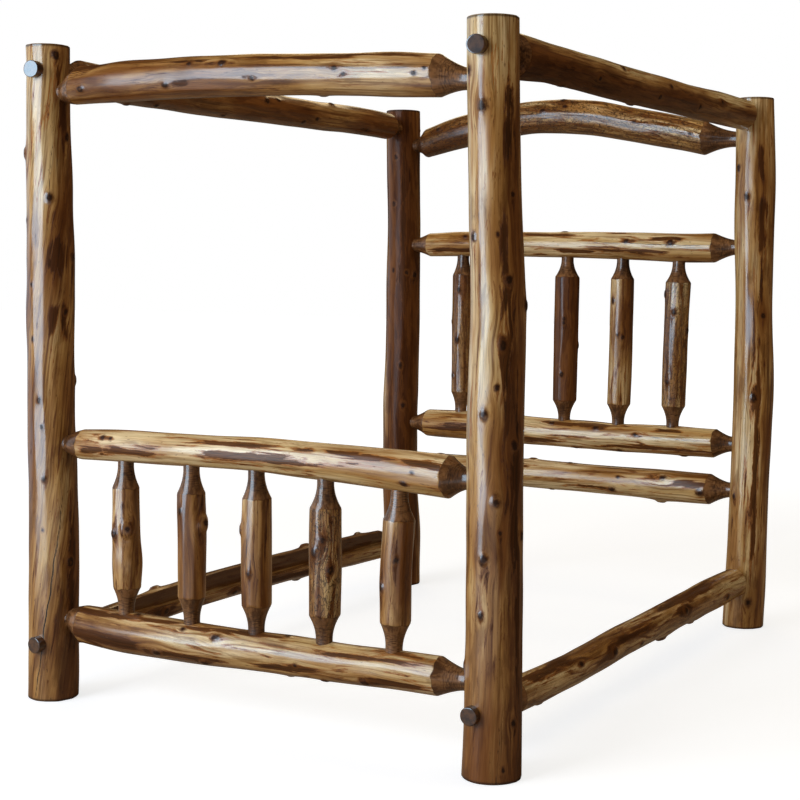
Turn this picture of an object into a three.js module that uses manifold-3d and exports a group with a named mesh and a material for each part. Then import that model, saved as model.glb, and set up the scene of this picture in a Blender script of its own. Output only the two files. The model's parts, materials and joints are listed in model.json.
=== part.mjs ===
// Four poster canopy bed of peeled logs, queen size.
//
// Millimetres, +Z up. +X is to the right of a person standing at the foot and looking at the head,
// +Y runs from the foot to the head, and z = 0 is the floor. Rails are joined to the posts by round
// tenons with conical shoulders. The side rails and the canopy's side rails come off: a bed bolt
// runs through each post into a barrel nut in the rail, and a wooden peg covers its head.

import * as THREE from 'three';
import { mergeVertices } from 'three/addons/utils/BufferGeometryUtils.js';
import Module from 'manifold-3d';

// Overall sizes
const POST_SPACING_ACROSS = 1600; // post axis to post axis, left to right
const POST_SPACING_ALONG = 2190; // post axis to post axis, foot to head
const POST_HEIGHT = 2083;
const CLEARANCE = 0.3; // gap left round every seated piece

// Heights of the rails' tenons above the floor: [at the left or foot post, at the right or head post]
const FOOT_TOP_HEIGHTS = [833, 827];
const FOOT_BOTTOM_HEIGHTS = [265, 262];
const HEAD_TOP_HEIGHTS = [1501, 1494];
const HEAD_LOWER_HEIGHTS = [724, 718];
const HEAD_BOTTOM_HEIGHTS = [538, 535];
const SIDE_LEFT_HEIGHTS = [188, 198];
const SIDE_RIGHT_HEIGHTS = [189, 190];

// The same for the canopy's rails, but down from the height of a post
const FOOT_CANOPY_DROPS = [133, 165];
const HEAD_CANOPY_DROPS = [151, 169];
const CANOPY_LEFT_DROPS = [67, 79];
const CANOPY_RIGHT_DROPS = [84, 85];
const LONG_RAIL_INSET = 10; // rails along the bed lie this far inside the posts' axes

// Joints between logs
const TENON_RADIUS = 30;
const TENON_DEPTH = 62; // into a post, on the rails that stay fixed
const SOCKET_DEPTH = 22; // into a post, on the rails that come off
const NECK_REVEAL = 5; // straight tenon that shows between a post and the shoulder
const SPINDLE_TENON_RADIUS = 25;
const SPINDLE_TENON_DEPTH = 34;
const SPINDLE_NECK_REVEAL = 8;
const SPINDLE_SHOULDER = 72; // length of a spindle's conical shoulder
const SPINDLE_PITCH = 249; // between spindles' axes
const SPINDLES_PER_END = 5;
const FOOT_SPINDLES_CENTRE = 10; // middle spindle of the foot, right of the bed's centre line

// Ledge that carries the box spring, cut along the inner side of each side rail
const LEDGE_HEIGHT = 212; // above the floor
const LEDGE_SETBACK = 15; // from the rail's axis inwards to the upright face

// Bed bolts
const BOLT_RADIUS = 6;
const BOLT_BORE_RADIUS = 6.6;
const BOLT_HEAD_ACROSS_FLATS = 19;
const BOLT_HEAD_HEIGHT = 7.5;
const BOLT_TIP = 14; // past the barrel nut's axis
const WASHER_RADIUS = 18;
const WASHER_THICKNESS = 2.5;
const PEG_RADIUS = 27;
const PEG_BORE_DEPTH = 42; // counterbore in the post, from its surface
const PEG_CHAMFER = 2;
const PEG_PROUD = 26; // how far a peg stands out of its post
const BARREL_RADIUS = 10;
const BARREL_LENGTH = 34;
const BARREL_SETBACK = 72; // from the post's surface to the barrel nut's axis

// Facets
const POST_SIDES = 14;
const RAIL_SIDES = 12;
const SPINDLE_SIDES = 10;
const PEG_SIDES = 12;
const BOLT_SIDES = 8;
const KNOT_SIDES = 6;
const POST_RINGS = 8;
const RAIL_RINGS = 8;
const SPINDLE_RINGS = 4;

const OVALITY = 0.025; // a log is that much wider than round one way, and narrower the other
const POST_ARRIS = 4; // eased edge round a post's ends
const PAST = 60; // how far a cutter runs on past the surface that it opens

const X = new THREE.Vector3(1, 0, 0);
const Y = new THREE.Vector3(0, 1, 0);
const Z = new THREE.Vector3(0, 0, 1);
const LEAN = new THREE.Vector3(0.87, 0.49, 0); // way that the posts' bows are counted

const HONEY = { color: 0xa8743c, roughness: 0.35, metalness: 0 };
const UMBER = { color: 0x7a4d28, roughness: 0.4, metalness: 0 };
const END_GRAIN = { color: 0x4a3426, roughness: 0.5, metalness: 0 };
const STEEL = { color: 0x8c8f94, roughness: 0.35, metalness: 1 };

// Shapes of the logs. Each row is [share of the length, radius, bow]: the log swells and bends
// smoothly through its rows. Each knot is [share of the length, angle, radius, height proud].
// The angle turns about the log: 0, 90, 180, 270 is front, top, back and underside on a rail that
// runs across the bed, right, top, left and underside on one that runs along it, and left, back,
// right and front on a post or a spindle.
const POST_SHAPES = {
  foot_left: {
    trim: 14,
    turn: 20,
    rows: [[0, 80, -3], [0.08, 78, -3], [0.2, 80, 5], [0.36, 76, 2], [0.5, 74, -1],
      [0.58, 77, 0], [0.68, 73, 3], [0.8, 72, 1], [0.9, 68, 0], [1, 67, 0]],
    knots: [[0.822, 10, 13, 7], [0.975, 215, 14, 7], [0.6, 190, 12, 6]],
  },
  foot_right: {
    trim: -3,
    turn: 65,
    rows: [[0, 83, 14], [0.17, 79, 16], [0.32, 78, 14], [0.44, 77, 15], [0.6, 75, 17],
      [0.67, 74, 15], [0.75, 72, 7], [0.82, 70, 2], [0.9, 71, -1], [1, 70, -6]],
    knots: [[0.63, 165, 13, 6], [0.5, 20, 12, 5]],
  },
  head_right: {
    trim: -14,
    turn: 110,
    rows: [[0, 79, -5], [0.13, 77, 4], [0.25, 75, 6], [0.42, 75, 15], [0.5, 75, 14],
      [0.62, 71, 9], [0.76, 75, 3], [0.86, 75, 2], [1, 71, -5]],
    knots: [[0.44, 250, 13, 5]],
  },
  head_left: {
    trim: 0,
    turn: 150,
    rows: [[0, 78, 15], [0.13, 78, 13], [0.18, 76, 8], [0.32, 75, 1], [0.5, 74, 9],
      [0.62, 73, 12], [0.75, 70, 12], [0.9, 72, 8], [1, 72, 6]],
    knots: [[0.3, 20, 13, 7], [0.66, 200, 12, 6]],
  },
};

const RAIL_SHAPES = {
  foot_canopy_rail: {
    shoulders: [56, 96],
    turn: 40,
    rows: [[0, 55, 15], [0.05, 60, 26], [0.11, 61, 25], [0.18, 59, 24], [0.29, 61, 31],
      [0.42, 61, 31], [0.6, 59, 29], [0.76, 59, 24], [0.9, 61, 17], [1, 59, 12]],
    knots: [[0.012, 88, 20, 17], [0.3, 20, 13, 6], [0.7, 250, 12, 5]],
  },
  foot_top_rail: {
    shoulders: [60, 62],
    turn: 10,
    rows: [[0, 48, 2], [0.1, 50, 7], [0.27, 50, 11], [0.46, 50, 17], [0.62, 53, 15],
      [0.78, 56, 11], [0.92, 60, 5], [1, 60, 1]],
    knots: [[0.84, 40, 12, 5]],
  },
  foot_bottom_rail: {
    shoulders: [60, 84],
    turn: 75,
    rows: [[0, 60, -11], [0.05, 64, -18], [0.12, 65, -16], [0.4, 61, -15], [0.56, 59, -9],
      [0.76, 56, -7], [0.9, 56, -1], [1, 55, 0]],
    knots: [[0.08, 30, 14, 6], [0.61, 265, 13, 7], [0.8, 285, 12, 6]],
  },
  head_canopy_rail: {
    shoulders: [52, 128],
    turn: 120,
    rows: [[0, 59, 9], [0.05, 64, 27], [0.12, 67, 49], [0.24, 67, 79], [0.42, 67, 107],
      [0.6, 70, 99], [0.76, 68, 66], [0.91, 67, 31], [1, 65, 7]],
    knots: [[0.52, 60, 12, 6]],
  },
  head_top_rail: {
    shoulders: [70, 84],
    turn: 30,
    rows: [[0, 50, 2], [0.1, 52, 6], [0.4, 52, 6], [0.7, 55, 3], [0.9, 58, -4], [1, 57, -3]],
    knots: [[0.87, 20, 12, 6]],
  },
  head_lower_rail: {
    shoulders: [70, 70],
    turn: 95,
    rows: [[0, 57, 2], [0.08, 61, 4], [0.4, 58, 0], [0.62, 57, -4], [0.86, 58, -1], [1, 56, 0]],
    knots: [[0.3, 270, 12, 7]],
  },
  head_bottom_rail: {
    shoulders: [70, 84],
    turn: 55,
    rows: [[0, 53, 2], [0.08, 56, 0], [0.4, 59, 1], [0.7, 59, 0], [0.9, 62, -3], [1, 61, -3]],
    knots: [[0.24, 90, 14, 9], [0.84, 270, 17, 11]],
  },
  side_rail_left: {
    shoulders: [86, 118],
    turn: 15,
    rows: [[0, 52, 2], [0.1, 54, 12], [0.25, 55, 22], [0.42, 56, 27], [0.65, 57, 22],
      [0.82, 61, 14], [0.95, 62, 9], [1, 60, 5]],
    knots: [[0.2, 118, 16, 12], [0.71, 112, 19, 16], [0.93, 116, 14, 10], [0.66, 262, 19, 12]],
  },
  side_rail_right: {
    shoulders: [82, 44],
    turn: 80,
    rows: [[0, 51, -5], [0.1, 50, -10], [0.25, 51, -12], [0.4, 51, -4], [0.55, 52, -4],
      [0.68, 55, -2], [0.82, 59, 0], [0.94, 59, -1], [1, 57, -2]],
    knots: [[0.08, 285, 12, 6], [0.59, 280, 20, 15], [0.745, 275, 17, 12], [0.33, 10, 13, 6]],
  },
  canopy_side_rail_left: {
    shoulders: [60, 66],
    turn: 50,
    rows: [[0, 54, -4], [0.1, 56, -10], [0.3, 56, -11], [0.6, 55, -5], [0.8, 55, 1],
      [0.93, 55, 4], [1, 54, 2]],
    knots: [[0.12, 275, 12, 6], [0.5, 20, 12, 5]],
  },
  canopy_side_rail_right: {
    shoulders: [46, 60],
    turn: 130,
    rows: [[0, 63, -8], [0.06, 60, -7], [0.12, 56, -2], [0.4, 56, -5], [0.7, 55, -4], [0.9, 58, -2],
      [1, 57, -1]],
    knots: [[0.16, 275, 13, 4], [0.44, 265, 12, 5]],
  },
};

// Spindles, from left to right. "aside" is how far one stands to the right of its even place, and
// "lean" is how far its top stands to the right of its foot.
const FOOT_SPINDLE_SHAPES = [
  { aside: -3, lean: 2, turn: 0, rows: [[0, 44, 3], [0.18, 49, 4], [0.4, 44, 1], [1, 43, -1]],
    knots: [[0.55, 285, 12, 7]] },
  { aside: 8, lean: 0, turn: 60, rows: [[0, 43, 0], [0.5, 44, 1], [1, 43, -1]],
    knots: [[0.76, 170, 13, 9]] },
  { aside: 3, lean: 0, turn: 110, rows: [[0, 45, 0], [0.3, 46, -1], [1, 44, 2]],
    knots: [[0.72, 350, 14, 7]] },
  { aside: 0, lean: 4, turn: 30, rows: [[0, 47, 0], [0.5, 48, 1], [1, 46, 0]],
    knots: [[0.6, 280, 12, 5]] },
  { aside: -4, lean: 19, turn: 80, rows: [[0, 44, 1], [0.5, 46, -2], [1, 46, 2]],
    knots: [[0.35, 300, 11, 5]] },
];
const HEAD_SPINDLE_SHAPES = [
  { aside: 8, lean: 6, turn: 40, rows: [[0, 44, 2], [0.5, 42, -2], [1, 43, 0]],
    knots: [[0.6, 0, 12, 5]] },
  { aside: 0, lean: 0, turn: 0, rows: [[0, 46, 0], [0.5, 46, 2], [1, 45, 0]],
    knots: [[0.4, 200, 12, 5]] },
  { aside: 3, lean: 6, turn: 90, rows: [[0, 49, 0], [0.5, 50, 1], [1, 50, 0]],
    knots: [[0.45, 170, 12, 5]] },
  { aside: 0, lean: 12, turn: 20, rows: [[0, 48, 0], [0.4, 48, 2], [1, 47, 0]],
    knots: [[0.7, 10, 12, 5]] },
  { aside: -10, lean: 16, turn: 130, rows: [[0, 47, 0], [0.6, 49, -2], [1, 50, 1]],
    knots: [[0.62, 185, 12, 5]] },
];

const wasm = await Module();
wasm.setup();

// A closed three.js geometry as a solid that can be joined and cut.
function solidOf(geometry) {
  const bare = geometry.index ? geometry.clone() : mergeVertices(geometry);
  bare.deleteAttribute('normal');
  bare.deleteAttribute('uv');
  const merged = mergeVertices(bare, 1e-3);
  const corners = merged.index.array;
  const triangles = [];
  for (let i = 0; i < corners.length; i += 3) {
    const [a, b, c] = [corners[i], corners[i + 1], corners[i + 2]];
    if (a !== b && b !== c && c !== a) triangles.push(a, b, c);
  }
  return new wasm.Manifold(new wasm.Mesh({
    numProp: 3,
    vertProperties: Float32Array.from(merged.attributes.position.array),
    triVerts: Uint32Array.from(triangles),
  }));
}

// A named mesh of a solid.
function meshOf(name, solid, finish) {
  const { vertProperties, triVerts } = solid.getMesh();
  const geometry = new THREE.BufferGeometry();
  geometry.setAttribute('position', new THREE.BufferAttribute(Float32Array.from(vertProperties), 3));
  geometry.setIndex(new THREE.BufferAttribute(Uint32Array.from(triVerts), 1));
  geometry.computeVertexNormals();
  const mesh = new THREE.Mesh(geometry, new THREE.MeshStandardMaterial(finish));
  mesh.name = name;
  return mesh;
}

// Frame at a point whose Y axis runs along a direction, with Z as near to up (or, for an upright
// piece, to the head end) as it can be.
function frameAlong(origin, direction) {
  const along = direction.clone().normalize();
  const up = Math.abs(along.z) > 0.9 ? Y : Z;
  const side = new THREE.Vector3().crossVectors(along, up).normalize();
  const top = new THREE.Vector3().crossVectors(side, along);
  return new THREE.Matrix4().makeBasis(side, along, top).setPosition(origin);
}

// Round bar along a frame's Y axis.
function bar(frame, from, to, radius, sides) {
  const geometry = new THREE.CylinderGeometry(radius, radius, to - from, sides);
  return solidOf(geometry.translate(0, (from + to) / 2, 0).applyMatrix4(frame));
}

// Solid of revolution about a frame's Y axis. Each point of the profile is [radius, height].
function turned(profile, sides) {
  const points = profile.map(([radius, height]) => new THREE.Vector2(radius, height));
  return new THREE.LatheGeometry(points, sides);
}

// Value in a column of the rows at a share of the length: a smooth curve through the rows, whose
// slope at each row is that of the chord between its neighbours.
function smoothValue(rows, share, column) {
  const t = THREE.MathUtils.clamp(share, rows[0][0], rows[rows.length - 1][0]);
  const slope = (i) => {
    const before = rows[Math.max(i - 1, 0)];
    const after = rows[Math.min(i + 1, rows.length - 1)];
    return (after[column] - before[column]) / (after[0] - before[0]);
  };
  let i = 0;
  while (i < rows.length - 2 && t > rows[i + 1][0]) i += 1;
  const span = rows[i + 1][0] - rows[i][0];
  const u = (t - rows[i][0]) / span;
  const start = (1 + 2 * u) * (1 - u) ** 2 * rows[i][column] + u * (1 - u) ** 2 * span * slope(i);
  const end = u * u * (3 - 2 * u) * rows[i + 1][column] + u * u * (u - 1) * span * slope(i + 1);
  return start + end;
}

// A log's axis frame, its natural shape between two stations on that axis, and its finish.
class Log {
  constructor(frame, from, to, shape, bowWay) {
    this.frame = frame;
    this.from = from;
    this.to = to;
    this.shape = shape;
    const side = new THREE.Vector3();
    const along = new THREE.Vector3();
    const top = new THREE.Vector3();
    frame.extractBasis(side, along, top);
    this.bow = { side: bowWay.dot(side), top: bowWay.dot(top) };
    this.along = along;
  }

  share(station) {
    return (station - this.from) / (this.to - this.from);
  }

  radiusAt(station) {
    return smoothValue(this.shape.rows, this.share(station), 1);
  }

  bowAt(station) {
    return smoothValue(this.shape.rows, this.share(station), 2);
  }

  // Point of the bent axis at a station.
  centreAt(station) {
    const bow = this.bowAt(station);
    return new THREE.Vector3(bow * this.bow.side, station, bow * this.bow.top)
      .applyMatrix4(this.frame);
  }

  // Rings of the body: [radius, station], evenly spaced between the two ends of the natural shape.
  body(rings) {
    return Array.from({ length: rings + 1 }, (_, i) => {
      const station = this.from + ((this.to - this.from) * i) / rings;
      return [this.radiusAt(station), station];
    });
  }

  // The profile turned about the axis, then made oval and bent as the log grew. The bow and the
  // oval fade out over the necks, so that the tenons stay round and in line.
  grow(profile, sides, neckFrom, neckTo) {
    const geometry = turned(profile, sides);
    const position = geometry.attributes.position;
    const turn = THREE.MathUtils.degToRad(this.shape.turn);
    for (let i = 0; i < position.count; i += 1) {
      const [x, station, z] = [position.getX(i), position.getY(i), position.getZ(i)];
      const before = neckFrom < this.from ? (station - neckFrom) / (this.from - neckFrom) : 1;
      const after = neckTo > this.to ? (neckTo - station) / (neckTo - this.to) : 1;
      const natural = THREE.MathUtils.clamp(Math.min(before, after), 0, 1);
      const oval = 1 + natural * OVALITY * Math.cos(2 * Math.atan2(x, z) + turn);
      const bow = natural * this.bowAt(station);
      position.setXYZ(i, x * oval + bow * this.bow.side, station, z * oval + bow * this.bow.top);
    }
    let solid = solidOf(geometry.applyMatrix4(this.frame));
    for (const knot of this.shape.knots) solid = solid.add(this.knot(...knot));
    return solid;
  }

  // Stub of a branch, cut off close to the log.
  knot(share, angle, radius, proud) {
    const station = this.from + share * (this.to - this.from);
    const surface = this.radiusAt(station);
    const root = 0.5 * surface;
    const stub = new THREE.CylinderGeometry(0.75 * radius, 1.5 * radius, surface + proud - root,
      KNOT_SIDES);
    stub.translate(0, (surface + proud + root) / 2, 0);
    const bow = this.bowAt(station);
    const outward = new THREE.Matrix4().makeRotationY(THREE.MathUtils.degToRad(-angle))
      .multiply(new THREE.Matrix4().makeRotationZ(-Math.PI / 2));
    outward.setPosition(bow * this.bow.side, station, bow * this.bow.top);
    return solidOf(stub.applyMatrix4(outward).applyMatrix4(this.frame));
  }
}

// A post from the floor up, with both ends sawn flat and their edges eased.
function makePost(name) {
  const shape = POST_SHAPES[name];
  const x = (name.endsWith('left') ? -1 : 1) * (POST_SPACING_ACROSS / 2);
  const y = (name.startsWith('foot') ? -1 : 1) * (POST_SPACING_ALONG / 2);
  const height = POST_HEIGHT + shape.trim;
  const log = new Log(frameAlong(new THREE.Vector3(x, y, 0), Z), 0, height, shape, LEAN);
  const rings = log.body(POST_RINGS);
  const foot = rings[0][0];
  const top = rings[POST_RINGS][0];
  const profile = [
    [0, 0],
    [foot - POST_ARRIS, 0],
    [foot, POST_ARRIS],
    ...rings.slice(1, -1),
    [top, height - POST_ARRIS],
    [top - POST_ARRIS, height],
    [0, height],
  ];
  return { name: `post_${name}`, x, y, height, log, solid: log.grow(profile, POST_SIDES, 0, height) };
}

// Distance from a point inside a post to its outside, along a level direction.
function postReach(post, point, direction) {
  const toCentre = post.log.centreAt(point.z).sub(point);
  const ahead = toCentre.dot(direction);
  const aside = toCentre.lengthSq() - ahead * ahead;
  return ahead + Math.sqrt(post.log.radiusAt(point.z) ** 2 - aside);
}

// A rail between two posts, with a round tenon in each and a conical shoulder behind each tenon.
// Its line runs from the first post's axis to the second's, moved aside by the offset across the
// bed. It opens its own mortises in the posts.
function makeRail(name, first, second, heights, depth, offset = 0) {
  const shape = RAIL_SHAPES[name];
  const start = new THREE.Vector3(first.x + offset, first.y, heights[0]);
  const end = new THREE.Vector3(second.x + offset, second.y, heights[1]);
  const direction = end.clone().sub(start).normalize();
  const frame = frameAlong(start, direction);
  const seats = [
    postReach(first, start, direction),
    start.distanceTo(end) - postReach(second, end, direction.clone().negate()),
  ];
  const necks = [seats[0] + NECK_REVEAL, seats[1] - NECK_REVEAL];
  const tips = [seats[0] - depth, seats[1] + depth];
  const log = new Log(frame, seats[0] + shape.shoulders[0], seats[1] - shape.shoulders[1], shape,
    Z);
  const profile = [
    [0, tips[0]],
    [TENON_RADIUS, tips[0]],
    [TENON_RADIUS, necks[0]],
    ...log.body(RAIL_RINGS),
    [TENON_RADIUS, necks[1]],
    [TENON_RADIUS, tips[1]],
    [0, tips[1]],
  ];
  const solid = log.grow(profile, RAIL_SIDES, necks[0], necks[1]);
  const hole = TENON_RADIUS + CLEARANCE;
  first.solid = first.solid.subtract(
    bar(frame, tips[0] - CLEARANCE, seats[0] + PAST, hole, RAIL_SIDES));
  second.solid = second.solid.subtract(
    bar(frame, seats[1] - PAST, tips[1] + CLEARANCE, hole, RAIL_SIDES));
  return { name, log, ends: [start, end], solid };
}

// Heights of a canopy rail's tenons.
function dropped(drops) {
  return drops.map((drop) => POST_HEIGHT - drop);
}

// Station on a rail below or above a place across the bed.
function stationAcross(rail, x) {
  return (x + POST_SPACING_ACROSS / 2) / rail.log.along.x;
}

// An upright spindle between two rails, with a round tenon in each. It opens its own mortises.
function makeSpindle(name, lower, upper, x, shape) {
  const foot = lower.log.centreAt(stationAcross(lower, x - shape.lean / 2));
  const head = upper.log.centreAt(stationAcross(upper, x + shape.lean / 2));
  const frame = frameAlong(foot, head.clone().sub(foot));
  const length = head.distanceTo(foot);
  const seats = [
    lower.log.radiusAt(stationAcross(lower, x)),
    length - upper.log.radiusAt(stationAcross(upper, x)),
  ];
  const necks = [seats[0] + SPINDLE_NECK_REVEAL, seats[1] - SPINDLE_NECK_REVEAL];
  const tips = [seats[0] - SPINDLE_TENON_DEPTH, seats[1] + SPINDLE_TENON_DEPTH];
  const log = new Log(frame, necks[0] + SPINDLE_SHOULDER, necks[1] - SPINDLE_SHOULDER, shape, X);
  const profile = [
    [0, tips[0]],
    [SPINDLE_TENON_RADIUS, tips[0]],
    [SPINDLE_TENON_RADIUS, necks[0]],
    ...log.body(SPINDLE_RINGS),
    [SPINDLE_TENON_RADIUS, necks[1]],
    [SPINDLE_TENON_RADIUS, tips[1]],
    [0, tips[1]],
  ];
  const hole = SPINDLE_TENON_RADIUS + CLEARANCE;
  lower.solid = lower.solid.subtract(
    bar(frame, tips[0] - CLEARANCE, seats[0] + PAST, hole, SPINDLE_SIDES));
  upper.solid = upper.solid.subtract(
    bar(frame, seats[1] - PAST, tips[1] + CLEARANCE, hole, SPINDLE_SIDES));
  return { name, solid: log.grow(profile, SPINDLE_SIDES, necks[0], necks[1]) };
}

// Cuts the box spring's ledge along a side rail's inner side, from end to end.
function cutLedge(rail, side) {
  const face = side * (POST_SPACING_ACROSS / 2 - LONG_RAIL_INSET - LEDGE_SETBACK);
  const reach = 2 * PAST;
  const cutter = new THREE.BoxGeometry(reach, POST_SPACING_ALONG, reach);
  cutter.translate(face - (side * reach) / 2, 0, LEDGE_HEIGHT + reach / 2);
  rail.solid = rail.solid.subtract(solidOf(cutter));
}

// The bed bolt, washer, barrel nut and cover peg that hold one end of a rail to its post. They are
// made in a frame whose origin is the end of the rail's line and whose Y axis runs into the rail.
function makeCornerBolt(post, rail, end, side) {
  const into = end === 'foot' ? Y : Y.clone().negate();
  const origin = rail.ends[end === 'foot' ? 0 : 1];
  const frame = frameAlong(origin, into);
  const outside = -postReach(post, origin, into.clone().negate());
  const inside = postReach(post, origin, into);
  const shelf = outside + PEG_BORE_DEPTH;
  const barrelAt = inside + BARREL_SETBACK;
  const bore = PEG_RADIUS + CLEARANCE;
  const label = rail.name.replace('_rail', '');
  const name = (piece) => `${piece}_${label}_${end}`;

  // Holes in the post, then in the rail, where the barrel nut goes in from the inner side.
  post.solid = post.solid
    .subtract(bar(frame, outside - PAST, shelf, bore, PEG_SIDES))
    .subtract(bar(frame, shelf - 1, inside + PAST, BOLT_BORE_RADIUS, BOLT_SIDES));
  const inward = X.clone().multiplyScalar(-side);
  const crossFrame = frameAlong(new THREE.Vector3(0, barrelAt, 0).applyMatrix4(frame), inward);
  const barrelHole = BARREL_RADIUS + CLEARANCE;
  const half = BARREL_LENGTH / 2;
  rail.solid = rail.solid
    .subtract(bar(frame, -PAST, barrelAt + BOLT_TIP + 2, BOLT_BORE_RADIUS, BOLT_SIDES))
    .subtract(bar(crossFrame, -half - CLEARANCE, half + PAST, barrelHole, BOLT_SIDES));

  // Washer on the shelf of the counterbore, and the bolt's head on the washer.
  const washerFrom = shelf - CLEARANCE - WASHER_THICKNESS;
  const washer = turned([
    [BOLT_RADIUS + 2 * CLEARANCE, washerFrom],
    [WASHER_RADIUS, washerFrom],
    [WASHER_RADIUS, washerFrom + WASHER_THICKNESS],
    [BOLT_RADIUS + 2 * CLEARANCE, washerFrom + WASHER_THICKNESS],
    [BOLT_RADIUS + 2 * CLEARANCE, washerFrom],
  ], BOLT_SIDES);
  const headTo = washerFrom - CLEARANCE;
  const headFrom = headTo - BOLT_HEAD_HEIGHT;
  const corner = BOLT_HEAD_ACROSS_FLATS / Math.sqrt(3);
  const bolt = bar(frame, headFrom, headTo, corner, 6)
    .add(bar(frame, headTo - 1, barrelAt + BOLT_TIP, BOLT_RADIUS, BOLT_SIDES));

  // Barrel nut across the rail, with the bolt through its middle.
  const barrel = bar(crossFrame, -half, half, BARREL_RADIUS, BOLT_SIDES)
    .subtract(bar(frame, barrelAt - PAST, barrelAt + PAST, BOLT_RADIUS + CLEARANCE, BOLT_SIDES));

  // Peg that closes the counterbore and stands proud of the post.
  const pegTo = headFrom - CLEARANCE;
  const pegFrom = outside - PEG_PROUD;
  const peg = turned([
    [0, pegFrom],
    [PEG_RADIUS - PEG_CHAMFER, pegFrom],
    [PEG_RADIUS, pegFrom + PEG_CHAMFER],
    [PEG_RADIUS, pegTo],
    [0, pegTo],
  ], PEG_SIDES);
  return [
    meshOf(name('bolt'), bolt, STEEL),
    meshOf(name('washer'), solidOf(washer.applyMatrix4(frame)), STEEL),
    meshOf(name('barrel_nut'), barrel, STEEL),
    meshOf(name('peg'), solidOf(peg.applyMatrix4(frame)), END_GRAIN),
  ];
}

const footLeft = makePost('foot_left');
const footRight = makePost('foot_right');
const headRight = makePost('head_right');
const headLeft = makePost('head_left');

const acrossFoot = (name, heights) => makeRail(name, footLeft, footRight, heights, TENON_DEPTH);
const acrossHead = (name, heights) => makeRail(name, headLeft, headRight, heights, TENON_DEPTH);
const footCanopy = acrossFoot('foot_canopy_rail', dropped(FOOT_CANOPY_DROPS));
const footTop = acrossFoot('foot_top_rail', FOOT_TOP_HEIGHTS);
const footBottom = acrossFoot('foot_bottom_rail', FOOT_BOTTOM_HEIGHTS);
const headCanopy = acrossHead('head_canopy_rail', dropped(HEAD_CANOPY_DROPS));
const headTop = acrossHead('head_top_rail', HEAD_TOP_HEIGHTS);
const headLower = acrossHead('head_lower_rail', HEAD_LOWER_HEIGHTS);
const headBottom = acrossHead('head_bottom_rail', HEAD_BOTTOM_HEIGHTS);

// Spindles of one end, evenly spaced between two rails.
function makeSpindles(label, lower, upper, centre, shapes) {
  return Array.from({ length: SPINDLES_PER_END }, (_, i) => {
    const shape = shapes[i % shapes.length];
    const x = centre + (i - (SPINDLES_PER_END - 1) / 2) * SPINDLE_PITCH + shape.aside;
    return makeSpindle(`${label}_spindle_${i + 1}`, lower, upper, x, shape);
  });
}
const footSpindles = makeSpindles('foot', footBottom, footTop, FOOT_SPINDLES_CENTRE,
  FOOT_SPINDLE_SHAPES);
const headSpindles = makeSpindles('head', headLower, headTop, 0, HEAD_SPINDLE_SHAPES);

// Rails that come off: two side rails with the ledge, and the canopy's two side rails.
const sideRails = [];
const canopySideRails = [];
const fastenings = [];
for (const side of [-1, 1]) {
  const hand = side < 0 ? 'left' : 'right';
  const [foot, head] = side < 0 ? [footLeft, headLeft] : [footRight, headRight];
  const heights = side < 0 ? SIDE_LEFT_HEIGHTS : SIDE_RIGHT_HEIGHTS;
  const canopyHeights = dropped(side < 0 ? CANOPY_LEFT_DROPS : CANOPY_RIGHT_DROPS);
  const offset = -side * LONG_RAIL_INSET;
  const rail = makeRail(`side_rail_${hand}`, foot, head, heights, SOCKET_DEPTH, offset);
  cutLedge(rail, side);
  sideRails.push(rail);
  const canopy = makeRail(`canopy_side_rail_${hand}`, foot, head, canopyHeights, SOCKET_DEPTH,
    offset);
  canopySideRails.push(canopy);
  for (const piece of [rail, canopy]) {
    fastenings.push(...makeCornerBolt(foot, piece, 'foot', side));
    fastenings.push(...makeCornerBolt(head, piece, 'head', side));
  }
}

// One named group for each end and for what joins them.
function assemble(name, finish, pieces) {
  const group = new THREE.Group();
  group.name = name;
  for (const piece of pieces) group.add(meshOf(piece.name, piece.solid, finish));
  return group;
}

const bed = new THREE.Group();
bed.name = 'log_canopy_bed';
bed.add(assemble('foot_end', HONEY, [footLeft, footRight, footCanopy, footTop, footBottom,
  ...footSpindles]));
bed.add(assemble('head_end', HONEY, [headLeft, headRight, headTop, headLower, headBottom,
  ...headSpindles]));
bed.add(assemble('arched_rail', UMBER, [headCanopy]));
bed.add(assemble('long_rails', HONEY, [...sideRails, ...canopySideRails]));
const hardware = new THREE.Group();
hardware.name = 'bed_bolts';
hardware.add(...fastenings);
bed.add(hardware);

// The origin is the middle of the bed's footprint, on the floor.
const middle = new THREE.Box3().setFromObject(bed).getCenter(new THREE.Vector3());
bed.position.set(-middle.x, -middle.y, 0);

export default bed;
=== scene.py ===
"""Four poster canopy bed of peeled and varnished logs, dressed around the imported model."""

import json
import math

import bpy
import numpy as np
from mathutils import Matrix, Vector


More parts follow.
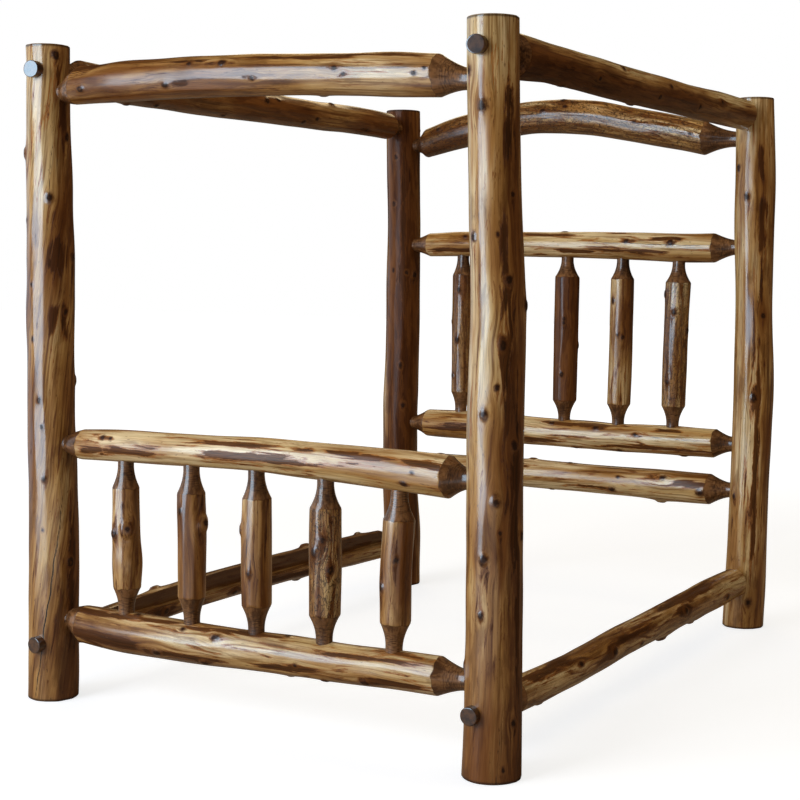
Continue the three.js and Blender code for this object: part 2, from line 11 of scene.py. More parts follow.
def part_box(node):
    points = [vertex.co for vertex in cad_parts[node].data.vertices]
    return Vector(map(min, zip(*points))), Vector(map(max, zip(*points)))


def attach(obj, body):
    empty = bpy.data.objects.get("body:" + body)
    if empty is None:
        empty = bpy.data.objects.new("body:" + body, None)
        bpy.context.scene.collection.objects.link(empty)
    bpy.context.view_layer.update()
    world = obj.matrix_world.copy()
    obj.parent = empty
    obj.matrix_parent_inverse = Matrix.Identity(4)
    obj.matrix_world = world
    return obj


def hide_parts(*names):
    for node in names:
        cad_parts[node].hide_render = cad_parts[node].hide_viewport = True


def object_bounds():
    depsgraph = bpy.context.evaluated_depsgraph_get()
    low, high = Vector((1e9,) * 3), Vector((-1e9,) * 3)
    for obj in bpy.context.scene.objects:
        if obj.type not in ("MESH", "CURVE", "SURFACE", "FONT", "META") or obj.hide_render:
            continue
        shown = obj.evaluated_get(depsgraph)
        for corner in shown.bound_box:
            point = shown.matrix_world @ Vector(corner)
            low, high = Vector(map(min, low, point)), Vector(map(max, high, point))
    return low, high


bl_info = {
    "name": "Log Canopy Bed",
    "version": (1, 0, 0),
    "blender": (4, 5, 0),
    "location": "3D View > Sidebar > Log Bed",
    "description": "Dresses a four poster canopy bed of peeled logs",
    "category": "Object",
}

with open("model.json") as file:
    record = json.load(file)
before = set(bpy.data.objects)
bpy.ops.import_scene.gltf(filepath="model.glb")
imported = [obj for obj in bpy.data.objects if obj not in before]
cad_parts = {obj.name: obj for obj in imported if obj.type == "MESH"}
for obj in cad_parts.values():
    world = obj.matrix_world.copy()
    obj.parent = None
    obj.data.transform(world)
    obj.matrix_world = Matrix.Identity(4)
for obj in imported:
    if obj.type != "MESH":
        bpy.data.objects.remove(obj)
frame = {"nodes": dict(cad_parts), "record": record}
CAD_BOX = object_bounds()
MM = 0.001
TURN = 2 * math.pi
ACROSS, ALONG, UPRIGHT = 0, 1, 2  # ways that a log can lie

POSTS = ["post_foot_left", "post_foot_right", "post_head_left", "post_head_right"]
CROSS_RAILS = [
    "foot_canopy_rail", "foot_top_rail", "foot_bottom_rail",
    "head_top_rail", "head_lower_rail", "head_bottom_rail",
]
ARCHED_RAIL = "head_canopy_rail"
SIDE_RAILS = ["side_rail_left", "side_rail_right"]
CANOPY_SIDE_RAILS = ["canopy_side_rail_left", "canopy_side_rail_right"]
SPINDLES = [f"{end}_spindle_{i}" for end in ("foot", "head") for i in range(1, 6)]

# Branch stubs of each log: [share of the body's length, angle in degrees, radius, height proud],
# in millimetres. The angle turns about the log: 0, 90, 180, 270 is front, top, back and underside
# on a rail that runs across the bed, right, top, left and underside on one that runs along it,
# and left, back, right and front on a post or a spindle. A low stub is a mere pin knot.
KNOTS = {
    "post_foot_left": [
        [0.985, 207, 11, 4], [0.864, 176, 10, 4], [0.84, 318, 13, 8], [0.771, 229, 11, 5],
        [0.738, 305, 8, 2], [0.684, 162, 10, 4], [0.641, 277, 6, 1], [0.558, 274, 6, 1],
        [0.493, 137, 11, 6], [0.465, 257, 8, 2], [0.424, 251, 7, 1], [0.344, 248, 8, 2],
        [0.266, 255, 5, 0], [0.214, 188, 11, 3], [0.822, 10, 12, 8], [0.6, 190, 8, 2],
        [0.9, 85, 10, 4], [0.3, 60, 11, 5], [0.62, 40, 10, 4], [0.12, 100, 10, 5],
    ],
    "post_foot_right": [
        [0.931, 307, 9, 3], [0.886, 267, 11, 6], [0.772, 202, 6, 1], [0.719, 298, 9, 4],
        [0.721, 239, 5, 0], [0.662, 220, 10, 3], [0.63, 165, 12, 6], [0.581, 233, 12, 4],
        [0.524, 242, 6, 1], [0.488, 267, 10, 5], [0.447, 203, 11, 3], [0.375, 241, 13, 5],
        [0.333, 232, 5, 0], [0.327, 175, 9, 5], [0.298, 264, 11, 5], [0.222, 270, 8, 3],
        [0.149, 330, 10, 4], [0.081, 200, 9, 1], [0.018, 221, 6, 1], [0.5, 20, 11, 5],
        [0.8, 105, 10, 4], [0.66, 60, 11, 5], [0.3, 85, 11, 5], [0.15, 120, 10, 4],
    ],
    "post_head_left": [
        [0.904, 266, 9, 1], [0.806, 276, 9, 1], [0.668, 278, 8, 0], [0.664, 228, 8, 0],
        [0.469, 245, 10, 2], [0.384, 231, 11, 2], [0.3, 20, 12, 7], [0.66, 200, 11, 6],
        [0.8, 60, 10, 4], [0.45, 95, 11, 5], [0.18, 120, 11, 4],
    ],
    "post_head_right": [
        [0.871, 308, 9, 2], [0.817, 275, 10, 3], [0.595, 223, 8, 1], [0.44, 250, 12, 5],
        [0.25, 300, 9, 3], [0.05, 240, 10, 2], [0.7, 80, 11, 5], [0.35, 60, 11, 5],
        [0.15, 130, 10, 4], [0.9, 120, 9, 4],
    ],
    "foot_canopy_rail": [
        [0.012, 88, 18, 15], [0.047, 343, 9, 3], [0.301, 336, 8, 3], [0.367, 33, 7, 1],
        [0.46, 32, 9, 2], [0.547, 347, 7, 2], [0.763, 12, 7, 1], [0.785, 356, 6, 1],
        [0.963, 0, 6, 2], [0.986, 14, 5, 1], [0.3, 200, 11, 5], [0.7, 250, 11, 5],
        [0.62, 110, 9, 4],
    ],
    "foot_top_rail": [
        [0.087, 35, 7, 1], [0.11, 33, 5, 0], [0.913, 333, 8, 2], [0.935, 8, 5, 1],
        [0.977, 98, 9, 4], [0.5, 190, 10, 4], [0.25, 230, 11, 4], [0.75, 165, 10, 4],
    ],
    "foot_bottom_rail": [
        [0.177, 77, 11, 5], [0.254, 329, 11, 5], [0.325, 51, 7, 1], [0.392, 318, 11, 6],
        [0.426, 38, 13, 5], [0.606, 88, 9, 2], [0.651, 347, 6, 1], [0.717, 300, 10, 5],
        [0.83, 322, 12, 6], [0.61, 265, 12, 7], [0.3, 190, 10, 4], [0.7, 170, 11, 5],
    ],
    "head_canopy_rail": [
        [0.067, 30, 10, 4], [0.459, 17, 9, 3], [0.535, 32, 8, 2], [0.779, 8, 6, 1],
        [0.966, 3, 6, 1], [0.52, 60, 11, 6], [0.25, 20, 9, 3], [0.3, 200, 11, 5],
        [0.7, 170, 11, 5],
    ],
    "head_top_rail": [
        [0.495, 88, 10, 4], [0.723, 21, 8, 2], [0.87, 20, 11, 6], [0.15, 35, 8, 2],
        [0.3, 180, 10, 5], [0.62, 200, 10, 4],
    ],
    "head_lower_rail": [
        [0.468, 47, 9, 3], [0.548, 296, 10, 5], [0.621, 40, 10, 3], [0.699, 300, 10, 5],
        [0.755, 19, 7, 2], [0.902, 280, 11, 5], [0.3, 270, 11, 6], [0.4, 180, 10, 5],
        [0.8, 190, 10, 4],
    ],
    "head_bottom_rail": [
        [0.24, 90, 12, 8], [0.393, 97, 13, 8], [0.47, 290, 9, 4], [0.529, 81, 8, 4],
        [0.691, 331, 10, 4], [0.711, 23, 6, 1], [0.86, 36, 16, 4], [0.985, 351, 12, 3],
        [0.84, 270, 15, 11], [0.5, 180, 10, 5],
    ],
    "side_rail_left": [
        [0.2, 118, 15, 12], [0.71, 112, 17, 15], [0.93, 116, 12, 10], [0.66, 262, 17, 12],
        [0.18, 345, 14, 3], [0.4, 330, 11, 4], [0.35, 180, 11, 5], [0.8, 200, 10, 5],
    ],
    "side_rail_right": [
        [0.08, 285, 11, 6], [0.59, 280, 18, 14], [0.745, 275, 15, 11], [0.33, 10, 12, 6],
        [0.2, 30, 9, 3], [0.45, 340, 9, 3], [0.66, 20, 12, 5], [0.88, 350, 10, 4],
    ],
    "canopy_side_rail_left": [
        [0.186, 300, 10, 4], [0.12, 275, 11, 6], [0.382, 297, 9, 4], [0.5, 20, 11, 5],
        [0.543, 32, 8, 2], [0.638, 316, 9, 3], [0.68, 337, 8, 2], [0.752, 64, 10, 5],
        [0.877, 316, 10, 3], [0.3, 180, 10, 5], [0.7, 200, 10, 5],
    ],
    "canopy_side_rail_right": [
        [0.16, 275, 12, 4], [0.249, 342, 8, 2], [0.44, 265, 11, 5], [0.502, 334, 8, 2],
        [0.55, 20, 8, 2], [0.694, 334, 9, 3], [0.8, 10, 9, 3], [0.35, 40, 9, 3],
        [0.5, 180, 10, 5],
    ],
    "foot_spindle_1": [[0.606, 226, 20, 9], [0.55, 285, 11, 7], [0.3, 60, 9, 4]],
    "foot_spindle_2": [[0.721, 179, 21, 12], [0.838, 285, 9, 4], [0.4, 60, 9, 4]],
    "foot_spindle_3": [[0.714, 320, 12, 7], [0.316, 262, 8, 3], [0.6, 90, 9, 4]],
    "foot_spindle_4": [[0.725, 248, 9, 3], [0.448, 219, 10, 3], [0.6, 280, 11, 5],
                       [0.25, 90, 9, 4]],
    "foot_spindle_5": [[0.637, 242, 8, 1], [0.35, 300, 10, 5], [0.8, 100, 9, 4]],
    "head_spindle_1": [[0.872, 263, 9, 3], [0.146, 300, 9, 4], [0.6, 0, 11, 5],
                       [0.45, 270, 10, 4]],
    "head_spindle_2": [[0.4, 200, 11, 5], [0.7, 270, 9, 3]],
    "head_spindle_3": [[0.67, 256, 6, 2], [0.63, 258, 6, 1], [0.22, 262, 8, 3],
                       [0.45, 170, 11, 5]],
    "head_spindle_4": [[0.56, 264, 7, 2], [0.545, 240, 8, 2], [0.83, 295, 8, 3],
                       [0.7, 10, 11, 5]],
    "head_spindle_5": [[0.905, 320, 11, 6], [0.765, 262, 9, 3], [0.2, 285, 8, 3],
                       [0.62, 185, 11, 5]],
}

# Patches of dark inner bark that the drawknife left:
# [share of the body's length, angle in degrees, length, half the width], in millimetres.
PATCHES = {
    "post_foot_left": [[0.686, 214, 95, 30], [0.587, 221, 90, 14], [0.584, 194, 110, 11],
                       [0.2, 182, 420, 16], [0.9, 185, 220, 14]],
    "post_foot_right": [[0.87, 212, 210, 22], [0.66, 226, 330, 12], [0.56, 218, 420, 16],
                        [0.39, 198, 500, 20], [0.2, 190, 420, 12]],
    "post_head_left": [[0.75, 240, 700, 14], [0.66, 246, 90, 26]],
    "post_head_right": [[0.876, 232, 130, 9], [0.765, 229, 190, 17], [0.31, 236, 820, 16],
                        [0.66, 228, 200, 5], [0.55, 252, 260, 4]],
    "foot_top_rail": [[0.055, 343, 100, 17], [0.165, 349, 200, 14], [0.46, 39, 300, 11],
                      [0.5, 358, 200, 17], [0.625, 357, 270, 14], [0.655, 40, 90, 9],
                      [0.8, 38, 250, 10], [0.955, 33, 150, 18], [0.43, 350, 170, 12]],
    "foot_bottom_rail": [[0.1, 344, 240, 18], [0.07, 60, 240, 10], [0.2, 66, 260, 7],
                         [0.5, 70, 260, 9], [0.35, 330, 260, 10], [0.62, 335, 200, 10],
                         [0.9, 330, 230, 14], [0.36, 60, 100, 10], [0.83, 40, 260, 7]],
    "foot_canopy_rail": [[0.02, 60, 200, 26], [0.34, 338, 60, 13], [0.46, 34, 110, 10],
                         [0.38, 42, 150, 7], [0.65, 50, 420, 8], [0.82, 60, 380, 8]],
    "head_top_rail": [[0.12, 330, 240, 10], [0.45, 50, 200, 10], [0.72, 340, 320, 8],
                      [0.55, 330, 160, 9], [0.25, 30, 150, 9], [0.86, 36, 130, 8]],
    "head_lower_rail": [[0.15, 350, 300, 16], [0.5, 48, 170, 9], [0.6, 50, 140, 12],
                        [0.83, 328, 330, 9], [0.85, 44, 130, 9], [0.4, 330, 200, 8]],
    "head_bottom_rail": [[0.95, 20, 130, 14], [0.62, 335, 200, 8], [0.3, 40, 260, 10]],
    "side_rail_left": [[0.18, 345, 120, 26], [0.6, 330, 500, 14]],
    "side_rail_right": [[0.1, 60, 260, 18], [0.4, 30, 300, 12], [0.66, 20, 120, 20],
                        [0.7, 70, 500, 18]],
}

# Drying checks: [share of the length where it starts, share where it ends, angle at the start,
# angle at the end, width in millimetres].
CHECKS = {
    "post_foot_left": [[-0.03, 0.33, 277, 203, 4.4], [0.7, 0.9, 236, 214, 1.6]],
    "post_foot_right": [[-0.02, 0.07, 234, 230, 2.2]],
    "post_head_right": [[0.61, 0.68, 242, 226, 2.6], [0.33, 0.6, 258, 256, 1.8]],
    "head_top_rail": [[0.55, 1.0, 12, 8, 2.4]],
    "head_lower_rail": [[0.7, 0.97, 16, 8, 2.0]],
    "foot_spindle_3": [[0.02, 0.7, 277, 273, 2.6]],
}

# Tone of each log: [bark left on it, brownness, scribbles of the bark's lacework], 0 to 1. The
# right canopy rail's brownness, beyond 1, is painted shade as well as brown wood.
TONES = {
    "post_foot_left": [0.1, 0.5, 0.0], "post_foot_right": [0.0, 0.25, 0.0],
    "post_head_left": [0.0, 0.6, 0.0], "post_head_right": [0.1, 0.2, 0.0],
    "foot_canopy_rail": [0.2, 0.35, 0.05], "foot_top_rail": [0.1, 0.0, 0.0],
    "foot_bottom_rail": [0.45, 0.25, 0.1], "head_canopy_rail": [0.5, 0.5, 1.0],
    "head_top_rail": [0.35, 0.1, 0.0], "head_lower_rail": [0.4, 0.15, 0.0],
    "head_bottom_rail": [0.2, 0.3, 0.0], "side_rail_left": [0.5, 0.7, 0.2],
    "side_rail_right": [0.6, 0.5, 0.3], "canopy_side_rail_left": [0.1, 1.0, 0.0],
    # The right canopy rail's 1.75 is partly painted shade.
    "canopy_side_rail_right": [0.2, 1.75, 0.1], "foot_spindle_1": [0.2, 0.6, 0.0],
    "foot_spindle_2": [0.25, 0.6, 0.1], "foot_spindle_3": [0.2, 0.5, 0.0],
    "foot_spindle_4": [0.6, 0.6, 0.9], "foot_spindle_5": [0.2, 0.5, 0.0],
    "head_spindle_1": [0.5, 0.8, 0.6], "head_spindle_2": [0.2, 0.35, 0.1],
    "head_spindle_3": [0.0, 1.3, 0.0], "head_spindle_4": [0.3, 0.4, 0.2],
    "head_spindle_5": [0.5, 0.45, 0.8],
}

# The side on which a log is painted browner, as painted shade: [angle in degrees, added brownness].
# The right canopy rail's negative one paints its top paler, as painted light from above.
PAINTED_SHADE_AND_LIGHT_SIDES = {
    "post_foot_left": [140, 0.6], "post_foot_right": [162, 0.7], "post_head_right": [170, 0.5],
    "foot_spindle_1": [190, 0.2], "foot_spindle_3": [190, 0.25], "foot_spindle_5": [180, 0.25],
    "head_spindle_4": [200, 0.4], "head_top_rail": [270, 0.4], "head_lower_rail": [270, 0.4],
    "foot_bottom_rail": [260, 0.4], "head_canopy_rail": [290, 0.4],
    "canopy_side_rail_right": [85, -1.7], "post_head_left": [240, 1.2],
}

# Brownness added at a log's start and end: foot and top, left and right, or foot and head. The foot
# posts are browner at the foot. The foot top rail is paler towards its right end as a painted
# highlight, and the right canopy rail's painted shade lightens towards its head end.
END_TONES_AND_PAINTED_LIGHT = {
    "post_foot_right": [0.5, -0.15], "post_foot_left": [0.3, -0.15],
    "post_head_right": [0.1, 0.0], "canopy_side_rail_right": [0.0, -0.7],
    "foot_top_rail": [0.1, -0.3], "foot_canopy_rail": [0.3, 0.3], "foot_bottom_rail": [0.4, 0.0],
}

# How far the grain turns round a log as it rises, in radians a metre.
TWISTS = {
    "post_foot_left": 1.75, "post_head_left": -0.5, "foot_spindle_4": 0.8,
    "head_spindle_1": -0.8, "head_bottom_rail": -0.4, "foot_bottom_rail": 0.35,
}

# How hollow the two shoulders of a log are, compared with the others of its kind.
HOLLOWS = {
    "foot_canopy_rail": [0.55, 1.1], "foot_top_rail": [0.5, 1.0], "foot_bottom_rail": [0.5, 1.0],
    "head_canopy_rail": [1.2, 1.2],
}

# How far the sawn face of a peg leans, sideways and up.
PEG_TILTS = {
    "peg_canopy_side_right_foot": [-0.16, 0.0], "peg_canopy_side_left_foot": [-0.15, 0.0],
    "peg_side_left_foot": [0.05, 0.04], "peg_side_right_foot": [0.04, 0.05],
}
PEG_RIM = 2.6 * MM
PEG_COLUMNS = 72


# Reading the logs of the frame

SLACK = 3 * MM  # how far a corner of an end face may lie from the log's tip
RING_GAP = 0.3 * MM  # corners further apart along the log belong to different rings
ROUND_WITHIN = 2 * MM  # how far a ring's corner may lie off its circle
RING_RADII = 20 * MM, 120 * MM
WIDEST_GAP = 0.4 * TURN  # between neighbouring corners of a ring
DIP = 5 * MM  # a ring that lies further than this inside both neighbours isn't the log's


def corners(node):
    """The distinct corners of a CAD node."""
    mesh = frame["nodes"][node].data
    places = np.empty(len(mesh.vertices) * 3)
    mesh.vertices.foreach_get("co", places)
    return np.unique(places.reshape(-1, 3).round(6), axis=0)


def middle_of(node):
    """The middle of a CAD node's box."""
    low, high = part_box(node)
    return np.array((low + high) / 2)


def axis_ends(node, way):
    """Two points on a log's axis: its bed bolts' middles, or the middles of its two end faces."""
    places = corners(node)
    bolts = [f"bolt_{node.replace('_rail', '')}_{end}" for end in ("foot", "head")]
    if bolts[0] in frame["nodes"]:
        first, last = map(middle_of, bolts)
        line = (last - first) / np.linalg.norm(last - first)
        reach = (places - first) @ line
        return first + reach.min() * line, first + reach.max() * line
    reach = places[:, way]
    start = places[reach < reach.min() + SLACK].mean(0)
    end = places[reach > reach.max() - SLACK].mean(0)
    if node in POSTS:
        start[UPRIGHT], end = reach.min(), np.array([*start[:2], reach.max()])
    return start, end


def fitted_circle(points):
    """Middle and radius of the circle that fits points in a plane best, by least squares. Points
    that lie off it, such as those of a hole's edge, are left out one by one."""
    while True:
        table = np.column_stack([2 * points, np.ones(len(points))])
        x, y, rest = np.linalg.lstsq(table, (points**2).sum(1), rcond=None)[0]
        radius = math.sqrt(max(rest + x * x + y * y, 0))
        off = np.abs(np.hypot(points[:, 0] - x, points[:, 1] - y) - radius)
        if off.max() < ROUND_WITHIN or len(points) < 7:
            return x, y, radius, off.max()
        points = np.delete(points, off.argmax(), axis=0)


class Log:
    """A log of the frame, read back from its CAD node.

    It has an axis frame, whose angle 0 is the side and 90 degrees the top, its length from tip to
    tip, and its rings: [station, middle's side, middle's top, radius]. A rail's or a spindle's run
    from neck to neck, a post's from one sawn end's arris to the other's."""

    def __init__(self, node, way):
        self.node = node
        self.seed = sum(map(ord, node))
        self.is_post = node in POSTS
        self.origin, end = axis_ends(node, way)
        self.length = np.linalg.norm(end - self.origin)
        self.line = (end - self.origin) / self.length
        up = np.array([0.0, 1.0, 0.0] if way == UPRIGHT else [0.0, 0.0, 1.0])
        self.side = np.cross(self.line, up)
        self.side /= np.linalg.norm(self.side)
        self.top = np.cross(self.side, self.line)
        self.rings = self.found_rings()
        body = self.rings if self.is_post else self.rings[1:-1]
        self.body = body[:, 0][[0, -1]]

    def found_rings(self):
        """The rings of the log's own surface. Corners at one station are a ring where they lie on
        a circle of a log's size all the way round. Those of the tenons are left out, and so are
        those that stand far inside both of their neighbours."""
        places = corners(self.node) - self.origin
        station = places @ self.line
        across = np.column_stack([places @ self.side, places @ self.top])
        order = np.argsort(station)
        rings = []
        for group in np.split(order, np.nonzero(np.diff(station[order]) > RING_GAP)[0] + 1):
            if len(group) < 6:
                continue
            x, y, radius, off = fitted_circle(across[group])
            angle = np.sort(np.arctan2(across[group, 1] - y, across[group, 0] - x))
            widest = np.diff(np.append(angle, angle[0] + TURN)).max()
            is_size = RING_RADII[0] < radius < RING_RADII[1]
            if off < ROUND_WITHIN and is_size and widest < WIDEST_GAP:
                rings.append([station[group].mean(), x, y, radius])
        rings = np.array(rings)[1:-1]
        thick = rings[:, 3] > 0.75 * np.median(rings[:, 3])
        thick[[0, -1]] = True
        rings = rings[thick]
        kept = np.full(len(rings), True)
        kept[1:-1] = rings[1:-1, 3] > np.minimum(rings[:-2, 3], rings[2:, 3]) - DIP
        return rings[kept]

    def station(self, share):
        """The station at a share of the body's length."""
        return self.body[0] + share * (self.body[1] - self.body[0])


def smooth(x, knots_x, knots_y):
    """A smooth curve through points: a cubic between each two, whose slope at a point is that of
    the chord between its neighbours. It stays level past both ends."""
    x = np.clip(x, knots_x[0], knots_x[-1])
    slope = np.empty(len(knots_x))
    slope[1:-1] = (knots_y[2:] - knots_y[:-2]) / (knots_x[2:] - knots_x[:-2])
    slope[0] = (knots_y[1] - knots_y[0]) / (knots_x[1] - knots_x[0])
    slope[-1] = (knots_y[-1] - knots_y[-2]) / (knots_x[-1] - knots_x[-2])
    i = np.clip(np.searchsorted(knots_x, x, side="right") - 1, 0, len(knots_x) - 2)
    span = knots_x[i + 1] - knots_x[i]
    u = (x - knots_x[i]) / span
    return (
        (1 + 2 * u) * (1 - u) ** 2 * knots_y[i]
        + u * (1 - u) ** 2 * span * slope[i]
        + u * u * (3 - 2 * u) * knots_y[i + 1]
        + u * u * (u - 1) * span * slope[i + 1]
    )


def wrapped(angle):
    """An angle brought between minus half a turn and half a turn."""
    return (angle + math.pi) % TURN - math.pi


def bell(x):
    """A bell curve of height 1 and width about 1."""
    return np.exp(-(x**2))


# Shapes

DEEPEST_CUT = 30 * MM  # the turning's depth is kept up to this
UNCUT = -5 * MM  # and down to this, where the log's own surface is left
NO_KNOT = 4.0  # a distance from a stub, in its radii, that leaves no trace
NO_CHECK = 9.0  # the same from a drying check, in its half widths


class Surface:
    """A log's surface over stations (rows) and angles (columns), with the fields that its finish
    is painted from."""

    def __init__(self, log, station, angle, looks):
        """The log's natural radius is that of its CAD rings, swollen by slow waves, shaved flat
        by the drawknife and raised over each branch stub. Behind the shoulders it is the lesser
        of that and a cone that runs down to the tenon."""
        self.log = log
        self.station = station
        self.angle = angle
        random = np.random.default_rng(log.seed)
        rings = log.rings
        inner = rings if log.is_post else rings[1:-1]
        self.mean_radius = smooth(station, inner[:, 0], inner[:, 3])
        inside = (station >= inner[0, 0]) & (station <= inner[-1, 0])
        self.middle = [np.where(inside, smooth(station, inner[:, 0], inner[:, row]),
                                np.interp(station, rings[:, 0], rings[:, row])) for row in (1, 2)]
        natural = self.mean_radius + self.waves(random, looks.wave)
        self.radius = self.shaved(natural, random, looks) + self.stubs()
        self.turned = np.full_like(self.radius, UNCUT)
        if not log.is_post:
            cone = self.cone(looks.shoulder_curve)
            self.turned = np.clip(self.radius - cone, UNCUT, DEEPEST_CUT)
            self.radius = np.minimum(self.radius, cone)

    def waves(self, random, size):
        """Slow swells: sines that turn once to four times round the log, each with its own length
        along it, between a fifth of a metre and a metre."""
        total = np.zeros(np.broadcast(self.station, self.angle).shape)
        for lobes in (1, 2, 3, 4, 2, 3):
            length = random.uniform(0.2, 0.9)
            start, twist = random.uniform(0, TURN, 2)
            round_log = np.cos(lobes * self.angle + start + 0.6 * np.sin(self.station * 3 + twist))
            along = np.sin(TURN * self.station / length + twist)
            total += round_log * along / (0.6 + 0.4 * lobes)
        return size * total / 1.6

    def shaved(self, shaved, random, looks):
        """Drawknife flats: each is a chord at its own depth and angle, which drift along the log.
        The radius is the least of the natural one and the chords', blended at the edges."""
        turn = random.uniform(0, TURN)
        soft = looks.flat_edge
        for i in range(looks.flats):
            drift = random.uniform(0.3, 1.1)
            phase = random.uniform(0, TURN, 3)
            at = turn + TURN * (i + random.uniform(-0.25, 0.25)) / looks.flats
            at = at + 0.10 * np.sin(TURN * self.station / drift + phase[0])
            ebb = 0.5 + 0.5 * np.sin(TURN * self.station / random.uniform(0.25, 0.7) + phase[1])
            depth = looks.flat_depth * (0.35 + 0.65 * ebb)
            chord = self.mean_radius * (1 - depth) / np.maximum(np.cos(self.angle - at), 0.3)
            gap = chord - shaved
            shaved = shaved + 0.5 * (gap - np.sqrt(gap * gap + soft * soft)) + 0.1 * soft
        return shaved

    def stubs(self):
        """Branch stubs: a dome with a steep edge on a wide low swelling, as a function of the
        distance along the surface.

        It keeps the nearest stub's distance in its radii, and a wide stub's dark heart is the
        smaller part of it. It also keeps the dark trail below each stub, and the angle at which
        the grain passes, bent to run closer beside a stub and to leave a clear space before it."""
        shape = np.broadcast(self.station, self.angle).shape
        rise = np.zeros(shape)
        self.knot = np.full(shape, NO_KNOT)
        self.trail = np.zeros(shape)
        self.flow = np.broadcast_to(self.angle, shape).copy()
        for share, angle, size, proud in KNOTS.get(self.log.node, []):
            size, proud = size * MM, proud * MM
            ahead = self.station - self.log.station(share)
            turn = wrapped(self.angle - math.radians(angle))
            aside = self.mean_radius * turn
            distance = np.hypot(ahead / 1.4, aside) / size
            dome = 1 / (1 + np.exp(np.minimum((distance - 0.95) / 0.13, 50)))
            rise += proud * (0.62 * dome + 0.38 * bell(distance / 2.3))
            self.knot = np.minimum(self.knot, distance * max(1, (size / (12 * MM)) ** 2))
            below = (ahead + (2.2 * size if self.log.is_post else 0)) / (4.5 * size)
            self.trail += 0.45 * bell(below) * bell(aside / (1.2 * size))
            self.flow -= 0.75 * turn * bell(ahead / (4.5 * size)) * bell(aside / (2.6 * size))
        return rise

    def cone(self, curve):
        """Radius of the turned shoulders: that of the tenon up to each neck, and from there a
        hollow cone, the height of a power of the distance, that meets the body at its first ring
        and rises on past it."""
        rings = self.log.rings
        tenon = rings[0, 3]
        slopes = []
        hollows = HOLLOWS.get(self.log.node, [1, 1])
        for neck, first, hollow in zip(rings[[0, -1]], rings[[1, -2]], hollows):
            share = (self.station - neck[0]) / (first[0] - neck[0])
            bend = curve * hollow
            grown = np.where(share > 1, 1 + bend * (share - 1), np.clip(share, 0, 1) ** bend)
            slopes.append(tenon + (first[3] - tenon) * grown)
        return np.minimum(*slopes)

    def patches(self):
        """Patches of inner bark, a bell along and round the log for each, over the stubs'
        trails."""
        total = self.trail
        for share, angle, length, width in PATCHES.get(self.log.node, []):
            ahead = (self.station - self.log.station(share)) / (0.55 * length * MM)
            aside = self.mean_radius * wrapped(self.angle - math.radians(angle)) / (width * MM)
            total = np.maximum(total, np.exp(-(ahead**4)) * bell(aside))
        return total

    def checks(self):
        """Distance from the nearest drying check, in its half widths. A check wanders and narrows
        towards both ends."""
        near = np.full_like(self.radius, NO_CHECK)
        for first, last, start, end, width in CHECKS.get(self.log.node, []):
            first, last = self.log.station(first), self.log.station(last)
            way = (self.station - first) / (last - first)
            line = np.radians(start + (end - start) * way)
            line = line + 0.02 * np.sin(self.station * 31) + 0.012 * np.sin(self.station * 83 + 1)
            half = 0.5 * width * MM * np.sqrt(np.clip(4 * way * (1 - way), 1e-4, 1))
            aside = np.abs(self.mean_radius * wrapped(self.angle - line))
            past = np.maximum(np.abs(way - 0.5) - 0.5, 0) * 4000
            near = np.minimum(near, aside / half + past)
        return near

    def tones(self):
        """The log's tone at each point: browner or paler towards an end, some of it painted light,
        and browner on its shaded side as painted shade, or paler on a lit top as painted light.
        """
        log = self.log
        tone = np.tile(np.array(TONES[log.node]), (*self.radius.shape, 1))
        way = np.clip((self.station - log.body[0]) / (log.body[1] - log.body[0]), 0, 1)
        first, last = END_TONES_AND_PAINTED_LIGHT.get(log.node, [0, 0])
        at, darker = PAINTED_SHADE_AND_LIGHT_SIDES.get(log.node, [0, 0])
        # Browner or paler towards each end, partly painted light.
        tone[..., 1] += first + (last - first) * way
        # Painted shade on a log's shaded side, or painted light on the right canopy rail's top.
        tone[..., 1] += darker * bell(wrapped(self.angle - math.radians(at)) / 1.1)
        return tone

    def grain(self, side, top):
        """Where each point lies in the wood, with the grain's twist along the log and without its
        bend round the stubs. Each log is cut from its own place in the wood."""
        bend = self.flow - self.angle + TWISTS.get(self.log.node, 0.2) * self.station
        reach, angle = np.hypot(side, top), np.arctan2(top, side) + bend
        lengthwise = np.broadcast_to(self.station, reach.shape) + 3.0 * (self.log.seed % 97)
        return np.stack([reach * np.cos(angle), reach * np.sin(angle), lengthwise], axis=-1)

    def mesh(self, side, top, sawn_end, ledge_painted_shade):
        """The log's mesh, from each point's place across it, how far it is sawn at its ends and the
        painted shade on a side rail's notch. Its fields are what the finish is painted from. It is
        kept inside the model's box."""
        log = self.log
        points = (log.origin + self.station[..., None] * log.line
                  + (side + self.middle[0])[..., None] * log.side
                  + (top + self.middle[1])[..., None] * log.top)
        cuts = np.broadcast_arrays(self.turned / MM, sawn_end, ledge_painted_shade)
        return build_mesh(log.node, np.clip(points, *CAD_BOX), {
            "grain": self.grain(side, top),
            "marks": np.stack([self.knot, self.patches(), self.checks()], axis=-1),
            "cuts": np.stack(cuts, axis=-1),
            "tone": self.tones(),
        })


